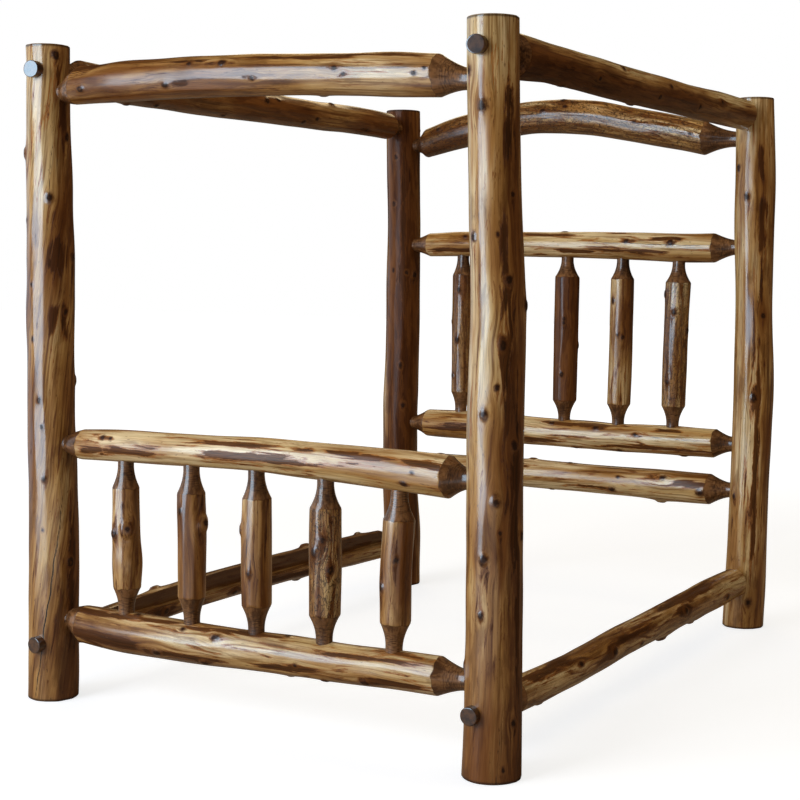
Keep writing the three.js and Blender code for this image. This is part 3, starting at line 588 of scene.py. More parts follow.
def build_mesh(name, points, fields):
    """A closed tube of rows of points, each row a ring, with a middle point over each end.

    The points are an array of rings by columns by three. Faces join each point to the next one
    round the ring and to the next ring, and a fan closes each end."""
    rows, columns = points.shape[:2]
    vertices = np.concatenate([points.reshape(-1, 3), points[[0, -1]].mean(axis=1)])
    ring = np.arange(columns)
    after = (ring + 1) % columns
    start = (np.arange(rows - 1) * columns)[:, None]
    quads = np.stack([start + ring, start + columns + ring, start + columns + after,
                      start + after], axis=-1).reshape(-1, 4)
    first, last = rows * columns, rows * columns + 1
    top = (rows - 1) * columns
    fans = np.concatenate([
        np.stack([ring, after, np.full(columns, first)], axis=-1),
        np.stack([top + after, top + ring, np.full(columns, last)], axis=-1),
    ])
    mesh = bpy.data.meshes.new(name)
    mesh.vertices.add(len(vertices))
    mesh.vertices.foreach_set("co", vertices.astype(np.float32).ravel())
    loops = np.concatenate([quads.ravel(), fans.ravel()]).astype(np.int32)
    mesh.loops.add(len(loops))
    mesh.loops.foreach_set("vertex_index", loops)
    starts = np.concatenate([np.arange(len(quads)) * 4, len(quads) * 4 + np.arange(len(fans)) * 3])
    mesh.polygons.add(len(starts))
    mesh.polygons.foreach_set("loop_start", starts.astype(np.int32))
    mesh.update(calc_edges=True)
    mesh.shade_smooth()
    mesh.set_sharp_from_angle(angle=math.radians(50))
    for field, values in fields.items():
        attribute = mesh.attributes.new(field, "FLOAT_VECTOR", "POINT")
        every = np.concatenate([values.reshape(-1, 3), values[[0, -1]].mean(axis=1)])
        attribute.data.foreach_set("vector", every.astype(np.float32).ravel())
    return mesh


def add_piece(name, mesh, material, slot, *nodes):
    """Puts a finished piece into the scene, in place of its CAD nodes."""
    piece = bpy.data.objects.new(name, mesh)
    bpy.context.scene.collection.objects.link(piece)
    mesh.materials.append(material)
    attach(piece, "root")
    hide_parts(*nodes)


def rows_along(log, spacing):
    """Stations of the rings of a log, with the inset, the share of the radius and how far it is
    sawn for each.

    A post's ends are flat: rings run in to the middle, and out over an eased edge. A rail's or
    spindle's rings are evenly spaced from tip to tip, with one at each neck and shoulder's edge."""
    if not log.is_post:
        stops = np.concatenate([[0], log.rings[[0, 1, -2, -1], 0], [log.length]])
        pieces = [np.linspace(a, b, max(int((b - a) / spacing), 1), endpoint=False)
                  for a, b in zip(stops[:-1], stops[1:])]
        station = np.concatenate(pieces + [[log.length]])
        return station, 0 * station, 0 * station + 1, 0 * station
    arris = log.rings[0, 0]
    inner = np.array([[0, arris * 1.4, share, 1] for share in (0.1, 0.3, 0.5, 0.7, 0.86, 0.96)])
    eased = np.array([[0, arris, 1, 1], [0.1 * arris, 0.45 * arris, 1, 0.6],
                      [0.4 * arris, 0.12 * arris, 1, 0.1]])
    low = np.concatenate([inner, eased])
    high = low[::-1].copy()
    high[:, 0] = log.length - high[:, 0]
    between = np.linspace(arris, log.length - arris, int(log.length / spacing))
    ends = np.minimum(between, log.length - between) - arris
    plain = np.column_stack([between, 0 * between, 0 * between + 1, 0.35 * bell(ends / (4 * MM))])
    return np.concatenate([low, plain, high]).T


def plain_log(log, shape):
    """The mesh of a log: round columns on every ring."""
    station, inset, share, sawn = (row[:, None] for row in rows_along(log, shape.spacing))
    angle = np.linspace(0, TURN, shape.columns, endpoint=False)[None, :]
    surface = Surface(log, station, angle, shape)
    reach = (surface.radius - inset) * share
    return surface.mesh(reach * np.cos(angle), reach * np.sin(angle), sawn, 0.0)


def ledged_log(log, shape, inward):
    """The mesh of a side rail: a log with a notch cut along the upper half of its inner side.

    Round columns run over the part of each ring that is left, and straight rows of columns over
    the ledge and the upright face. The notch's two edges lie where the log's own surface meets the
    ledge's height and the upright face, found by coming closer three times."""
    station = rows_along(log, shape.spacing)[0][:, None]
    ledge = next(m["pos_m"][2] for m in frame["record"]["mounts"]
                 if m["name"] == f"ledge_{'left' if inward > 0 else 'right'}")
    above = corners(log.node)
    above = above[above[:, 2] > ledge + 2 * MM]
    face = (above[:, 0] * inward).max()

    def surface_at(angle):
        """The surface at angles that turn from the inner side over the top."""
        return Surface(log, station, angle if inward > 0 else math.pi - angle, shape)

    side, top = surface_at(np.zeros((1, 1))).middle
    middle = log.origin + station[..., None] * log.line \
        + side[..., None] * log.side + top[..., None] * log.top
    beside = face - inward * middle[..., 0]
    over = ledge - middle[..., 2]
    low, high = np.full_like(station, 0.3), np.full_like(station, 1.2)
    for _ in range(3):
        low = np.arcsin(np.clip(over / surface_at(low).radius, -0.9, 0.9))
        high = np.arccos(np.clip(beside / surface_at(high).radius, -0.9, 0.9))
    straight = shape.columns // 9
    curved = shape.columns - 2 * straight
    over_log = np.linspace(0, 1, curved)[None, :]
    in_notch = np.linspace(0, 1, 2 * straight + 2)[None, 1:-1]
    angle = np.concatenate([high + (low + TURN - high) * over_log,
                            low + (high - low) * in_notch], axis=1)
    surface = surface_at(angle)
    side = surface.radius * np.cos(angle)
    top = surface.radius * np.sin(angle)
    flat, upright = slice(curved, curved + straight), slice(curved + straight, None)
    count = np.arange(1, straight + 1)[None, :]
    edge_side, edge_top = side[:, curved - 1:curved], top[:, :1]
    side[:, flat] = edge_side + (beside - edge_side) * count / straight
    side[:, upright] = beside
    top[:, flat] = over
    top[:, upright] = over + (edge_top - over) * count / (straight + 1)
    side = side * inward
    # Painted shade on the notch: the upright face is painted dark as shade, and the flat ledge only
    # a little.
    sawn = np.zeros_like(side)
    sawn[:, flat], sawn[:, upright] = 0.2, 1
    surface.knot[:, curved:] = NO_KNOT
    surface.trail[:, curved:] = 0
    surface.flow[:, curved:] = surface.angle[:, curved:]
    if inward < 0:
        side, top, sawn = side[:, ::-1], top[:, ::-1], sawn[:, ::-1]
        for field in ("angle", "radius", "turned", "knot", "trail", "flow"):
            setattr(surface, field, getattr(surface, field)[:, ::-1])
    return surface.mesh(side, top, 0.0, sawn)


def peg_mesh(name):
    """A peg turned about the bed's length, with a rounded rim, slightly out of round.

    Its rings run from the hidden end to the face: [share of the length, inset, share of the
    radius]."""
    low, high = (np.array(corner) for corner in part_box(name))
    inner, outer = (low, high) if name.endswith("_head") else (high, low)
    middle = (low + high) / 2
    radius = (high[0] - low[0]) / 2
    length = abs(outer[1] - inner[1])
    way = math.copysign(1, outer[1] - inner[1])
    curve = np.linspace(0, math.pi / 2, 6)[1:]
    station = np.concatenate([[0, length - PEG_RIM], length - PEG_RIM + PEG_RIM * np.sin(curve),
                              [length] * 4])[:, None]
    inset = np.concatenate([[0, 0], PEG_RIM * (1 - np.cos(curve)), [PEG_RIM] * 4])[:, None]
    share = np.concatenate([[1] * 7, [0.9, 0.65, 0.4, 0.15]])[:, None]
    angle = np.linspace(0, TURN, PEG_COLUMNS, endpoint=False)[None, :]
    start = np.random.default_rng(sum(map(ord, name))).uniform(0, TURN, 3)
    round_off = sum(np.cos(k * angle + start[k - 2]) / k for k in (2, 3, 4))
    reach = (radius - 0.4 * MM * (1.1 + round_off) - inset) * share
    side, top = reach * np.cos(angle), reach * np.sin(angle)
    tilt = PEG_TILTS.get(name, [0, 0])
    slant = (side * way * tilt[0] + top * tilt[1]) * (station / length) ** 4
    slant -= slant.max()
    points = np.stack([middle[0] + side * way, inner[1] + way * (station + slant),
                       middle[2] + top], axis=-1)
    grain = np.stack([side, top, station + 0 * side + start[0]], axis=-1)
    return build_mesh(name, points, {"grain": grain})


# Finishes


class Paint:
    """A material's node tree, with short names for the steps that its colours are made of."""

    def __init__(self, tree):
        self.tree = tree

    def node(self, kind, inputs=(), **settings):
        """A shader node with its settings, and with a value or a link in each named input."""
        made = self.tree.nodes.new("ShaderNode" + kind)
        for key, value in settings.items():
            setattr(made, key, value)
        for key, value in dict(inputs).items():
            if isinstance(value, bpy.types.NodeSocket):
                self.tree.links.new(value, made.inputs[key])
            else:
                made.inputs[key].default_value = value
        return made

    def math(self, operation, *values):
        """One step of arithmetic."""
        return self.node("Math", dict(enumerate(values)), operation=operation).outputs[0]

    def times(self, first, second):
        """The product of two values."""
        return self.math("MULTIPLY", first, second)

    def plus(self, value, weight, rest):
        """A value times its weight, added to the rest."""
        return self.math("MULTIPLY_ADD", value, weight, rest)

    def fade(self, value, low, high, start=0.0, end=1.0):
        """A value taken smoothly from start to end as it goes from low to high."""
        return self.node("MapRange", {
            "Value": value, "From Min": low, "From Max": high, "To Min": start, "To Max": end,
        }, interpolation_type="SMOOTHSTEP").outputs["Result"]

    def mix(self, share, first, second, blend="MIX"):
        """Two colours mixed. Each is a link or three numbers."""
        first, second = (colour if isinstance(colour, bpy.types.NodeSocket) else (*colour, 1.0)
                         for colour in (first, second))
        return self.node("Mix", {0: share, 6: first, 7: second}, data_type="RGBA",
                         blend_type=blend).outputs[2]

    def noise(self, grain, stretch, scale, detail, rough=0.5, warp=0.0):
        """Noise drawn out along the grain: each patch is about 1 / scale metres wide."""
        drawn = self.node("VectorMath", {0: grain, 1: (1.0, 1.0, stretch)}, operation="MULTIPLY")
        return self.node("TexNoise", {
            "Vector": drawn.outputs[0], "Scale": scale, "Detail": detail, "Roughness": rough,
            "Distortion": warp}).outputs["Fac"]

    def attribute(self, name):
        """A mesh's point attribute."""
        return self.node("Attribute", attribute_name=name).outputs["Vector"]

    def split(self, vector):
        """The three numbers of a vector."""
        return self.node("SeparateXYZ", {0: vector}).outputs

    def from_pith(self, grain):
        """Distance from the middle of the log."""
        place = self.split(grain)
        flat = self.node("CombineXYZ", {0: place[0], 1: place[1]}).outputs[0]
        return self.node("VectorMath", {0: flat}, operation="LENGTH").outputs["Value"]

    def year_rings(self, radius, closeness, wander):
        """Waves of the year rings over a radius, which wander with a noise."""
        return self.math("SINE", self.plus(radius, closeness, self.times(wander, 9)))

    def shade(self, inputs):
        """The principled shader and the material's output."""
        shader = self.node("BsdfPrincipled", inputs)
        self.node("OutputMaterial", {"Surface": shader.outputs[0]}).is_active_output = True


def finish_named(name, paint, *arguments):
    """A finish that is painted once and then found by its name."""
    material = bpy.data.materials.get(name)
    if material is None:
        material = bpy.data.materials.new(name)
        material.use_nodes = True
        material.node_tree.nodes.clear()
        paint(material.node_tree, *arguments)
    return material


class LogPaint(Paint):
    """Varnished log: streaked honey wood, browner zones, ragged patches of dark inner bark and its
    lacework, near-black stubs, ridged brown shoulders, ringed sawn ends and drying checks, with
    painted shade on a log's shaded side and the side rails' notches, and painted light on some
    paler ends."""

    def __init__(self, tree, colours):
        super().__init__(tree)
        self.colours = colours
        self.grain = self.attribute("grain")
        self.near_knot, self.patch, self.near_check = self.split(self.attribute("marks"))
        self.depth, self.sawn_end, self.ledge_painted_shade = self.split(self.attribute("cuts"))
        self.bark_left, self.brownness, self.lace = self.split(self.attribute("tone"))
        self.fibre = self.noise(self.grain, 0.035, 420, 3)
        self.streak = self.noise(self.grain, 0.028, 130, 4)
        self.band = self.noise(self.grain, 0.06, 42, 3)
        self.cloud = self.noise(self.grain, 0.25, 9, 3)
        self.shred = self.noise(self.grain, 0.13, 58, 6, rough=0.66, warp=0.5)
        self.blot = self.noise(self.grain, 0.22, 24, 5, rough=0.6, warp=0.4)
        wood = self.stained(self.peeled())
        wood = self.laced(self.barked(wood))
        wood = self.sawn(self.turned(self.knotted(wood)))
        self.check = self.fade(self.near_check, 1.3, 0.6)
        wood = self.mix(self.check, wood, (0.006, 0.004, 0.003))
        dull = self.fade(self.math("MAXIMUM", self.bark, self.core), 0, 1, 1.0, 0.22)
        self.shade({
            "Base Color": wood, "Normal": self.relief(),
            "Roughness": self.fade(self.brownness, 0.6, 1.2, 0.4, 0.6),
            "Specular IOR Level": 0.1, "Coat Roughness": colours.gloss_blur,
            "Coat Weight": self.times(self.fade(self.brownness, 0.9, 1.6, 1.0, 0.12), dull)})

    def peeled(self):
        """Pale and honey wood under amber clouds, with browner zones over them, which also carry
        the painted shade of a log's shaded side.
        """
        colours = self.colours
        broad = self.noise(self.grain, 0.09, 17, 3)
        wood = self.mix(self.fade(broad, 0.4, 0.58), colours.light, colours.pale)
        amber = self.plus(self.band, 0.6, self.cloud)
        wood = self.mix(self.fade(amber, 0.74, 1.0, 0, 0.8), wood, colours.deep)
        zone = self.plus(self.band, 0.5, self.math("SUBTRACT", self.cloud, 0.75))
        # The browned tone also carries painted shade on a log's shaded side and painted light on
        # its paler ends.
        self.browned_and_shaded = self.plus(self.brownness, 0.45, zone)
        wood = self.mix(self.fade(self.browned_and_shaded, -0.02, 0.3, 0, 0.85), wood, colours.deep)
        return self.mix(self.fade(self.browned_and_shaded, 0.18, 0.5, 0, 0.93), wood, colours.brown)

    def stained(self, wood):
        """The stain, darker on streaks, bands, fibres and blots, and where the log is brown or
        painted in shade, and fine dark specks.
        """
        lively = self.fade(self.cloud, 0.62, 0.38, 0.35, 0.95)
        blotted = self.plus(self.brownness, 0.1, self.blot)
        for share in (
            self.times(self.fade(self.streak, 0.47, 0.66), lively),
            self.fade(self.band, 0.54, 0.7, 0, 0.55),
            self.fade(self.brownness, 1.0, 2.0, 0, 0.85),
            self.fade(self.fibre, 0.4, 0.7, 0, 0.45),
            self.fade(blotted, 0.57, 0.68, 0, 0.6),
        ):
            wood = self.mix(share, wood, self.colours.stain, blend="MULTIPLY")
        speck = self.noise(self.grain, 0.3, 150, 3)
        return self.mix(self.fade(speck, 0.65, 0.73, 0, 0.55), wood, self.colours.inner)

    def barked(self, wood):
        """Torn patches of inner bark with a lighter fringe, which is duller in brown wood and in
        painted shade.
        """
        colours = self.colours
        torn = self.plus(self.streak, 0.5, self.plus(self.shred, 1.35, -0.425))
        level = self.plus(self.bark_left, 0.16, self.plus(self.patch, 0.4, torn))
        dull = self.mix(0.5, colours.brown, colours.inner)
        fringe = self.mix(self.fade(self.browned_and_shaded, 0.05, 0.35), colours.fringe, dull)
        wood = self.mix(self.fade(level, 0.6, 0.71, 0, 0.92), wood, fringe)
        self.bark = self.fade(level, 0.725, 0.765)
        skin = self.mix(self.fade(self.streak, 0.35, 0.6), colours.bark, colours.inner)
        cover = self.times(self.bark, self.fade(self.fibre, 0.3, 0.6, 0.98, 0.75))
        return self.mix(cover, wood, skin)

    def laced(self, wood):
        """Scribbles and flecks of the bark's lacework."""
        squiggle = self.noise(self.grain, 0.5, 46, 3, warp=2.4)
        squiggle = self.math("ABSOLUTE", self.math("SUBTRACT", squiggle, 0.5))
        self.squiggle = self.times(self.fade(squiggle, 0.05, 0.015), self.lace)
        self.flecks = self.times(self.fade(self.shred, 0.46, 0.6), self.lace)
        wood = self.mix(self.times(self.flecks, 0.75), wood, self.colours.streak)
        return self.mix(self.times(self.squiggle, 0.85), wood, self.colours.bark)

    def knotted(self, wood):
        """Stubs with a near-black core and a brown ring, lumpy as the wood is round them."""
        colours = self.colours
        lumps = self.noise(self.grain, 0.45, 110, 4, rough=0.65)
        knot = self.plus(lumps, 2.4, self.math("SUBTRACT", self.near_knot, 1.15))
        wood = self.mix(self.fade(knot, 2.1, 1.1, 0, 0.7), wood, colours.streak)
        wood = self.mix(self.fade(knot, 1.4, 0.9, 0, 0.8), wood, colours.inner)
        self.core = self.fade(knot, 0.95, 0.6)
        dark = self.mix(self.fade(self.streak, 0.4, 0.6), colours.knot, colours.bark)
        wood = self.mix(self.core, wood, dark)
        return self.mix(self.fade(knot, 0.3, 0.0, 0, 0.4), wood, colours.streak)

    def turned(self, wood):
        """Brown shoulders and necks, mottled, ridged by the lathe and dark at the arris."""
        colours = self.colours
        lathe = self.fade(self.noise(self.grain, 7.0, 60, 4), 0.42, 0.64)
        ridge = self.times(lathe, self.fade(self.depth, 3, 16))
        mottle = self.plus(self.streak, 0.35, self.times(self.blot, 0.65))
        scored = self.mix(self.fade(mottle, 0.42, 0.58), colours.turned, colours.turned_light)
        scored = self.mix(self.fade(self.band, 0.5, 0.7, 0, 0.5), scored, colours.bark)
        scored = self.mix(self.times(ridge, 0.75), scored, colours.bark)
        is_turned = self.fade(self.depth, -0.2, 0.3)
        self.ridge = self.times(ridge, is_turned)
        arris = self.math("ABSOLUTE", self.math("SUBTRACT", self.depth, 0.2))
        wood = self.mix(is_turned, wood, scored)
        return self.mix(self.times(self.fade(arris, 1.0, 0.3), 0.35), wood, colours.bark)

    def sawn(self, wood):
        """Sawn ends with year rings and a dark rim, and the painted shade of the side rail's notch:
        its upright face is painted dark as shade, and its flat ledge is painted lighter, as lit.
        """
        colours = self.colours
        radius = self.from_pith(self.grain)
        rings = self.year_rings(radius, 2300, self.cloud)
        end = self.mix(self.fade(rings, -0.5, 1), colours.sawn, colours.turned)
        end = self.mix(self.fade(radius, 0.03, 0.06, 0.55, 0), end, colours.bark)
        wood = self.mix(self.fade(self.sawn_end, 0.4, 0.9), wood, end)
        rim = self.times(self.fade(self.sawn_end, 0.0, 0.3),
                         self.fade(self.sawn_end, 0.95, 0.7, 0, 0.8))
        wood = self.mix(rim, wood, colours.bark)
        # Painted shade on the side rail's notch, in the inner bark's colour.
        return self.mix(self.times(self.ledge_painted_shade, 0.85), wood, colours.inner)

    def relief(self):
        """The bumps of the scraped wood, its bark, lacework, lathe ridges and checks, in
        millimetres."""
        height = self.times(self.cloud, 5.0)
        for layer, weight in (
            (self.noise(self.grain, 0.16, 38, 3), 2.2), (self.fibre, 0.12), (self.streak, 0.5),
            (self.bark, 0.35), (self.squiggle, -0.8), (self.flecks, 0.8), (self.ridge, 0.35),
            (self.check, -3.0),
        ):
            height = self.plus(layer, weight, height)
        return self.node("Bump", {"Height": height, "Distance": MM}).outputs[0]


def paint_peg(tree, colours):
    """Varnished dark peg: end grain on the face, long grain on the barrel."""
    paint = Paint(tree)
    grain = paint.attribute("grain")
    blotch = paint.noise(grain, 0.4, 60, 4)
    rings = paint.year_rings(paint.from_pith(grain), 2600, blotch)
    wood = paint.mix(paint.fade(blotch, 0.35, 0.65), colours.knot, colours.turned)
    wood = paint.mix(paint.fade(rings, -0.3, 1, 0, 0.4), wood, colours.bark)
    bump = paint.node("Bump", {"Height": paint.times(blotch, 0.5), "Distance": MM})
    paint.shade({"Base Color": wood, "Roughness": 0.5, "Normal": bump.outputs[0],
                 "Specular IOR Level": 0.2, "Coat Weight": 1.0, "Coat Roughness": 0.12,
                 "Coat IOR": 1.8})


def paint_steel(tree):
    """Zinc plated steel with fine turning marks, for the hidden bolts."""
    paint = Paint(tree)
    place = paint.node("TexCoord").outputs["Object"]
    marks = paint.node("TexNoise", {"Vector": place, "Scale": 900.0, "Detail": 2.0}).outputs["Fac"]
    paint.shade({"Base Color": paint.mix(marks, (0.42, 0.42, 0.44), (0.62, 0.62, 0.6)),
                 "Metallic": 1.0, "Roughness": paint.fade(marks, 0, 1, 0.28, 0.45)})


# Settings that a user would change


def length_prop(name, description, default, low, high):
    """A length that a user can set."""
    return bpy.props.FloatProperty(name=name, description=description, default=default, min=low,
                                   max=high, unit="LENGTH")


def count_prop(name, description, default, low, high):
    """A whole number that a user can set."""
    return bpy.props.IntProperty(name=name, description=description, default=default, min=low,
                                 max=high)


def share_prop(name, description, default, high):
    """A share that a user can set."""
    return bpy.props.FloatProperty(name=name, description=description, default=default, min=0,
                                   max=high, subtype="FACTOR")


def colour_prop(name, default, description="{} of the logs"):
    """A colour that a user can set."""
    return bpy.props.FloatVectorProperty(name=name, description=description.format(name),
                                         default=default, size=3, min=0, max=1, subtype="COLOR")


class LogShape:
    """The settings that do for every kind of log, unless it has its own."""

    spacing: length_prop("Ring spacing", "Distance between mesh rings", 0.005, 0.003, 0.02)
    flat_edge: length_prop("Flat edge", "Softness of a flat's edge", 0.0018, 0, 0.01)
    shoulder_curve: share_prop("Shoulder curve", "1 is a straight cone, more a hollow one", 1.4, 3)


class LOGBED_PostShape(LogShape, bpy.types.PropertyGroup):
    """Shape of the posts."""

    columns: count_prop("Columns", "Mesh columns round a post", 160, 24, 256)
    wave: length_prop("Waves", "Height of a post's slow swells", 0.0021, 0, 0.01)
    flats: count_prop("Flats", "Drawknife flats round a post", 12, 0, 24)
    flat_depth: share_prop("Flat depth", "Depth of a flat, of the radius", 0.004, 0.2)


class LOGBED_RailShape(LogShape, bpy.types.PropertyGroup):
    """Shape of the rails."""

    columns: count_prop("Columns", "Mesh columns round a rail", 136, 24, 256)
    wave: length_prop("Waves", "Height of a rail's slow swells", 0.0018, 0, 0.01)
    flats: count_prop("Flats", "Drawknife flats round a rail", 11, 0, 24)
    flat_depth: share_prop("Flat depth", "Depth of a flat, of the radius", 0.011, 0.2)


class LOGBED_SpindleShape(LogShape, bpy.types.PropertyGroup):
    """Shape of the spindles."""

    columns: count_prop("Columns", "Mesh columns round a spindle", 96, 24, 256)
    wave: length_prop("Waves", "Height of a spindle's slow swells", 0.0012, 0, 0.01)
    flats: count_prop("Flats", "Drawknife flats round a spindle", 9, 0, 24)
    flat_depth: share_prop("Flat depth", "Depth of a flat, of the radius", 0.032, 0.2)
    shoulder_curve: share_prop("Shoulder curve", "1 is a straight cone, more a hollow one", 2.0, 3)


class LOGBED_Colours(bpy.types.PropertyGroup):
    """Colours and gloss of the varnished wood."""

    stain: colour_prop("Stain of the grain", (0.43, 0.33, 0.21))
    pale: colour_prop("Pale wood", (0.8, 0.67, 0.41))
    light: colour_prop("Light wood", (0.63, 0.46, 0.21))
    # Deep wood and the brown zones are also the colours of the painted shade on a log's shaded
    # side.
    deep: colour_prop("Deep wood", (0.42, 0.215, 0.052))
    streak: colour_prop("Streaks", (0.15, 0.055, 0.012))
    brown: colour_prop("Brown zones", (0.18, 0.062, 0.011))
    fringe: colour_prop("Patch edges", (0.34, 0.13, 0.025))
    inner: colour_prop("Inner bark", (0.066, 0.022, 0.006))
    bark: colour_prop("Bark", (0.028, 0.011, 0.004))
    knot: colour_prop("Knots", (0.03, 0.012, 0.006))
    turned: colour_prop("Turned shoulders", (0.1, 0.042, 0.014))
    turned_light: colour_prop("Turned shoulders, light", (0.25, 0.12, 0.045))
    sawn: colour_prop("Sawn ends", (0.26, 0.14, 0.06))
    gloss_blur: share_prop("Gloss blur", "Roughness of the varnish", 0.2, 1)


class LOGBED_Stage(bpy.types.PropertyGroup):
    """Floor, light and camera."""

    floor: colour_prop("Floor", (0.5, 0.52, 0.56), "Colour of the floor")
    window: bpy.props.FloatProperty(name="Window light", default=260, min=0, unit="POWER",
                                    description="Power that all the lights are shares of")
    fill: bpy.props.FloatProperty(name="Fill", description="Strength of the light all round",
                                  default=0.36, min=0, max=10)
    lens: bpy.props.FloatProperty(name="Lens", description="Focal length in millimetres",
                                  default=71.74, min=10, max=300)


# Operators


def put_logs(context, names, way, shape, slot="honey_log"):
    """Makes logs in place of their CAD nodes."""
    for name in names:
        add_log(context, name, plain_log(Log(name, way), shape), slot)
    return {"FINISHED"}


def add_log(context, name, mesh, slot="honey_log"):
    """Adds a varnished log to the scene."""
    finish = finish_named("varnished_log", LogPaint, context.scene.log_bed_colours)
    add_piece(f"{name}_log", mesh, finish, slot, name)


class LOGBED_OT_posts(bpy.types.Operator):
    """Make the four posts"""

    bl_idname = "logbed.posts"
    bl_label = "Posts"

    def execute(self, context):
        return put_logs(context, POSTS, UPRIGHT, context.scene.log_bed_posts)


class LOGBED_OT_cross_rails(bpy.types.Operator):
    """Make the rails across the foot and the head"""

    bl_idname = "logbed.cross_rails"
    bl_label = "Cross rails"

    def execute(self, context):
        return put_logs(context, CROSS_RAILS, ACROSS, context.scene.log_bed_rails)


class LOGBED_OT_arched_rail(bpy.types.Operator):
    """Make the arched canopy rail over the head"""

    bl_idname = "logbed.arched_rail"
    bl_label = "Arched rail"

    def execute(self, context):
        return put_logs(context, [ARCHED_RAIL], ACROSS, context.scene.log_bed_rails, "arched_log")


class LOGBED_OT_spindles(bpy.types.Operator):
    """Make the spindles of the foot and the head"""

    bl_idname = "logbed.spindles"
    bl_label = "Spindles"

    def execute(self, context):
        return put_logs(context, SPINDLES, UPRIGHT, context.scene.log_bed_spindles)


class LOGBED_OT_long_rails(bpy.types.Operator):
    """Make the side rails with their ledges, and the canopy's side rails"""

    bl_idname = "logbed.long_rails"
    bl_label = "Long rails"

    def execute(self, context):
        shape = context.scene.log_bed_rails
        for name, inward in zip(SIDE_RAILS, (1, -1)):
            add_log(context, name, ledged_log(Log(name, ALONG), shape, inward))
        return put_logs(context, CANOPY_SIDE_RAILS, ALONG, shape)


class LOGBED_OT_pegs(bpy.types.Operator):
    """Make the pegs that cover the bed bolts"""

    bl_idname = "logbed.pegs"
    bl_label = "Pegs"

    def execute(self, context):
        finish = finish_named("varnished_peg", paint_peg, context.scene.log_bed_colours)
        for name in sorted(frame["nodes"]):
            if name.startswith("peg_"):
                add_piece(f"{name}_turned", peg_mesh(name), finish, "peg_end_grain", name)
        return {"FINISHED"}


class LOGBED_OT_hardware(bpy.types.Operator):
    """Give the hidden bolts, washers and barrel nuts their steel"""

    bl_idname = "logbed.hardware"
    bl_label = "Bed bolts"

    def execute(self, context):
        steel = finish_named("plated_steel", paint_steel)
        for name, piece in frame["nodes"].items():
            if name.startswith(("bolt_", "washer_", "barrel_nut_")):
                piece.data.materials.clear()
                piece.data.materials.append(steel)
        return {"FINISHED"}


# The studio

BED_MIDDLE = (0, 0, 1.1)
# The lights: [name, place, target, width, height, share of the window's power, colour, what it
# isn't seen by]. The blue ones are only mirrored in the varnish, as large windows are.
LIGHTS = [
    ["near_window", (-1.5, -4.4, 2.3), (-0.3, -1.1, 2.3), 2.8, 4.4, 1.25, (0.56, 0.79, 1.0),
     ["diffuse"]],
    ["key", (-3.2, -8.6, 4.2), BED_MIDDLE, 4.6, 4.4, 1.95, (0.96, 0.97, 1.0), ["glossy"]],
    ["floor_sheen", (-0.5, -4.8, 0.02), (-0.5, -4.8, 1), 6, 5, 0.22, (0.75, 0.88, 1.0),
     ["diffuse", "camera"]],
    ["room_left", (-5.5, -0.5, 2.2), (0, -0.5, 2.2), 6, 4.4, 0.25, (0.62, 0.82, 1.0),
     ["diffuse"]],
    ["left_window", (-5.8, -5.4, 2.5), BED_MIDDLE, 4.6, 3.8, 0.5, (1.0, 0.96, 0.92), ["glossy"]],
    ["back_window", (-3.2, 5.0, 4.8), BED_MIDDLE, 3, 1.4, 0.12, (1.0, 0.78, 0.45), []],
    ["overhead", (1.6, 0.6, 5.0), BED_MIDDLE, 4, 4, 0.24, (1.0, 0.8, 0.5), ["glossy"]],
]
CAMERA_PLACE = (2.8035, -4.9437, 1.4186)
CAMERA_TURN = 29.45, -4.515, 0.518  # left from the bed's length, up, and rolled, in degrees
CAMERA_SHIFT = -0.0501, -0.0125


def paint_floor(tree, shown):
    """The floor's finish. The camera sees it pale and glowing, more so further from the bed, and
    the bed is lit by it as by a warmer floor."""
    paint = Paint(tree)
    seen = paint.node("LightPath").outputs["Is Camera Ray"]
    far = paint.node("VectorMath", {0: paint.node("TexCoord").outputs["Object"]},
                     operation="LENGTH").outputs["Value"]
    glow = paint.times(seen, paint.fade(far, 2.5, 9, 0.72, 1.0))
    paint.shade({"Base Color": paint.mix(seen, (0.3, 0.24, 0.18), shown), "Roughness": 0.8,
                 "Emission Strength": glow, "Emission Color": (0.94, 0.97, 1, 1)})


def add_floor(shown):
    """A wide floor under the bed."""
    bpy.ops.mesh.primitive_plane_add(size=60, location=(0, 0, 0))
    floor = bpy.context.object
    floor.name = "floor"
    floor.data.materials.append(finish_named("floor", paint_floor, shown))


def add_world(fill):
    """A white backdrop, whose light on the bed is warm and weak in the varnish."""
    world = bpy.data.worlds.new("studio")
    world.use_nodes = True
    paint = Paint(world.node_tree)
    back = world.node_tree.nodes["Background"].inputs
    rays = paint.node("LightPath").outputs
    seen = rays["Is Camera Ray"]
    warmth = paint.mix(seen, (1, 0.82, 0.62), (1, 1, 1))
    strength = paint.fade(rays["Is Glossy Ray"], 0, 1, fill, 0.015)
    paint.tree.links.new(warmth, back["Color"])
    paint.tree.links.new(paint.math("MAXIMUM", strength, seen), back["Strength"])
    bpy.context.scene.world = world


def add_light(name, place, target, width, height, power, colour, unseen_by):
    """A rectangular soft light that faces a point."""
    data = bpy.data.lights.new(name, "AREA")
    data.shape = "RECTANGLE"
    data.size, data.size_y = width, height
    data.energy = power
    data.color = colour
    light = bpy.data.objects.new(name, data)
    light.location = place
    way = Vector(target) - Vector(place)
    light.rotation_euler = way.to_track_quat("-Z", "Y").to_euler()
    for ray in unseen_by:
        setattr(light, f"visible_{ray}", False)
    bpy.context.scene.collection.objects.link(light)


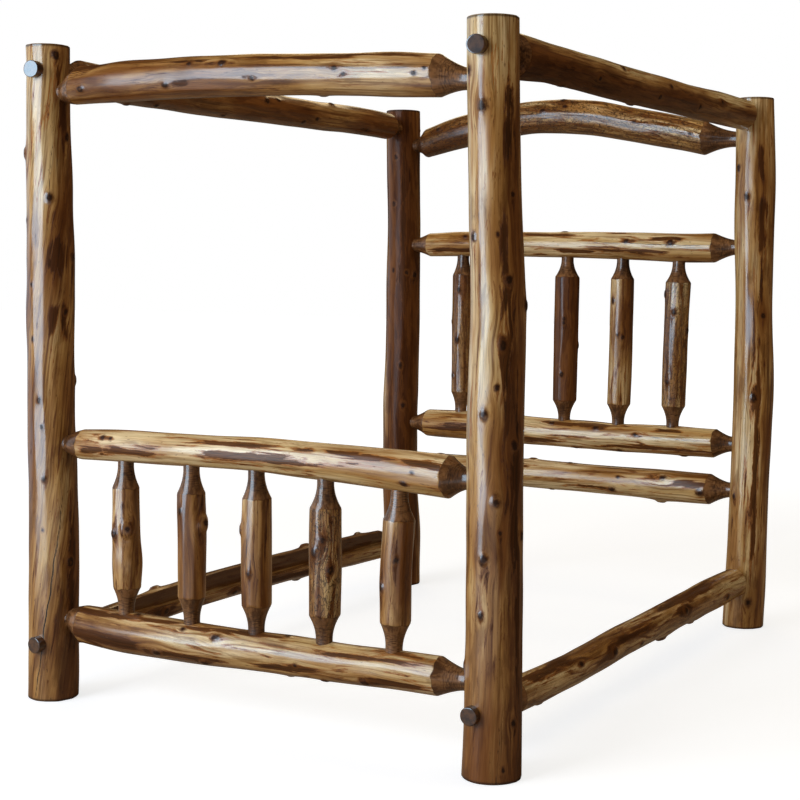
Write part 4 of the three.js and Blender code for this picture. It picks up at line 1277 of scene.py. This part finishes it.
def add_camera(lens):
    """The camera at the foot of the bed, to its right."""
    data = bpy.data.cameras.new("camera")
    data.lens = lens
    data.shift_x, data.shift_y = CAMERA_SHIFT
    camera = bpy.data.objects.new("camera", data)
    left, up, roll = map(math.radians, CAMERA_TURN)
    turn = (Matrix.Rotation(left, 4, "Z") @ Matrix.Rotation(math.pi / 2 + up, 4, "X")
            @ Matrix.Rotation(roll, 4, "Z"))
    camera.matrix_world = Matrix.Translation(CAMERA_PLACE) @ turn
    bpy.context.scene.collection.objects.link(camera)
    bpy.context.scene.camera = camera


class LOGBED_OT_stage(bpy.types.Operator):
    """Make the floor, the light and the camera"""

    bl_idname = "logbed.stage"
    bl_label = "Stage"

    def execute(self, context):
        settings = context.scene.log_bed_stage
        add_floor(settings.floor)
        add_world(settings.fill)
        context.scene.view_settings.view_transform = "Standard"
        for name, place, target, width, height, share, colour, unseen_by in LIGHTS:
            power = share * settings.window
            add_light(name, place, target, width, height, power, colour, unseen_by)
        add_camera(settings.lens)
        return {"FINISHED"}


class LOGBED_PT_panel(bpy.types.Panel):
    """Panel that lists the settings and the steps"""

    bl_idname = "LOGBED_PT_panel"
    bl_label = "Log Bed"
    bl_space_type = "VIEW_3D"
    bl_region_type = "UI"
    bl_category = "Log Bed"

    def draw(self, context):
        for group in SETTINGS:
            box = self.layout.box()
            settings = getattr(context.scene, group)
            for key in settings.bl_rna.properties.keys():
                if key not in {"rna_type", "name"}:
                    box.prop(settings, key)
        for operator in OPERATORS:
            self.layout.operator(operator.bl_idname)


OPERATORS = [
    LOGBED_OT_stage, LOGBED_OT_posts, LOGBED_OT_cross_rails, LOGBED_OT_arched_rail,
    LOGBED_OT_spindles, LOGBED_OT_long_rails, LOGBED_OT_pegs, LOGBED_OT_hardware,
]
SETTINGS = {
    "log_bed_posts": LOGBED_PostShape,
    "log_bed_rails": LOGBED_RailShape,
    "log_bed_spindles": LOGBED_SpindleShape,
    "log_bed_colours": LOGBED_Colours,
    "log_bed_stage": LOGBED_Stage,
}


def register():
    """Registers the classes and the scene's settings."""
    for cls in [*SETTINGS.values(), *OPERATORS, LOGBED_PT_panel]:
        bpy.utils.register_class(cls)
    for name, cls in SETTINGS.items():
        setattr(bpy.types.Scene, name, bpy.props.PointerProperty(type=cls))


def unregister():
    """Takes the settings and the classes away again."""
    for name in SETTINGS:
        delattr(bpy.types.Scene, name)
    for cls in [LOGBED_PT_panel, *reversed(OPERATORS), *reversed(SETTINGS.values())]:
        bpy.utils.unregister_class(cls)


def main():
    """Builds the whole dressed bed."""
    register()
    for operator in OPERATORS:
        family, name = operator.bl_idname.split(".")
        getattr(getattr(bpy.ops, family), name)()


if __name__ == "__main__":
    main()
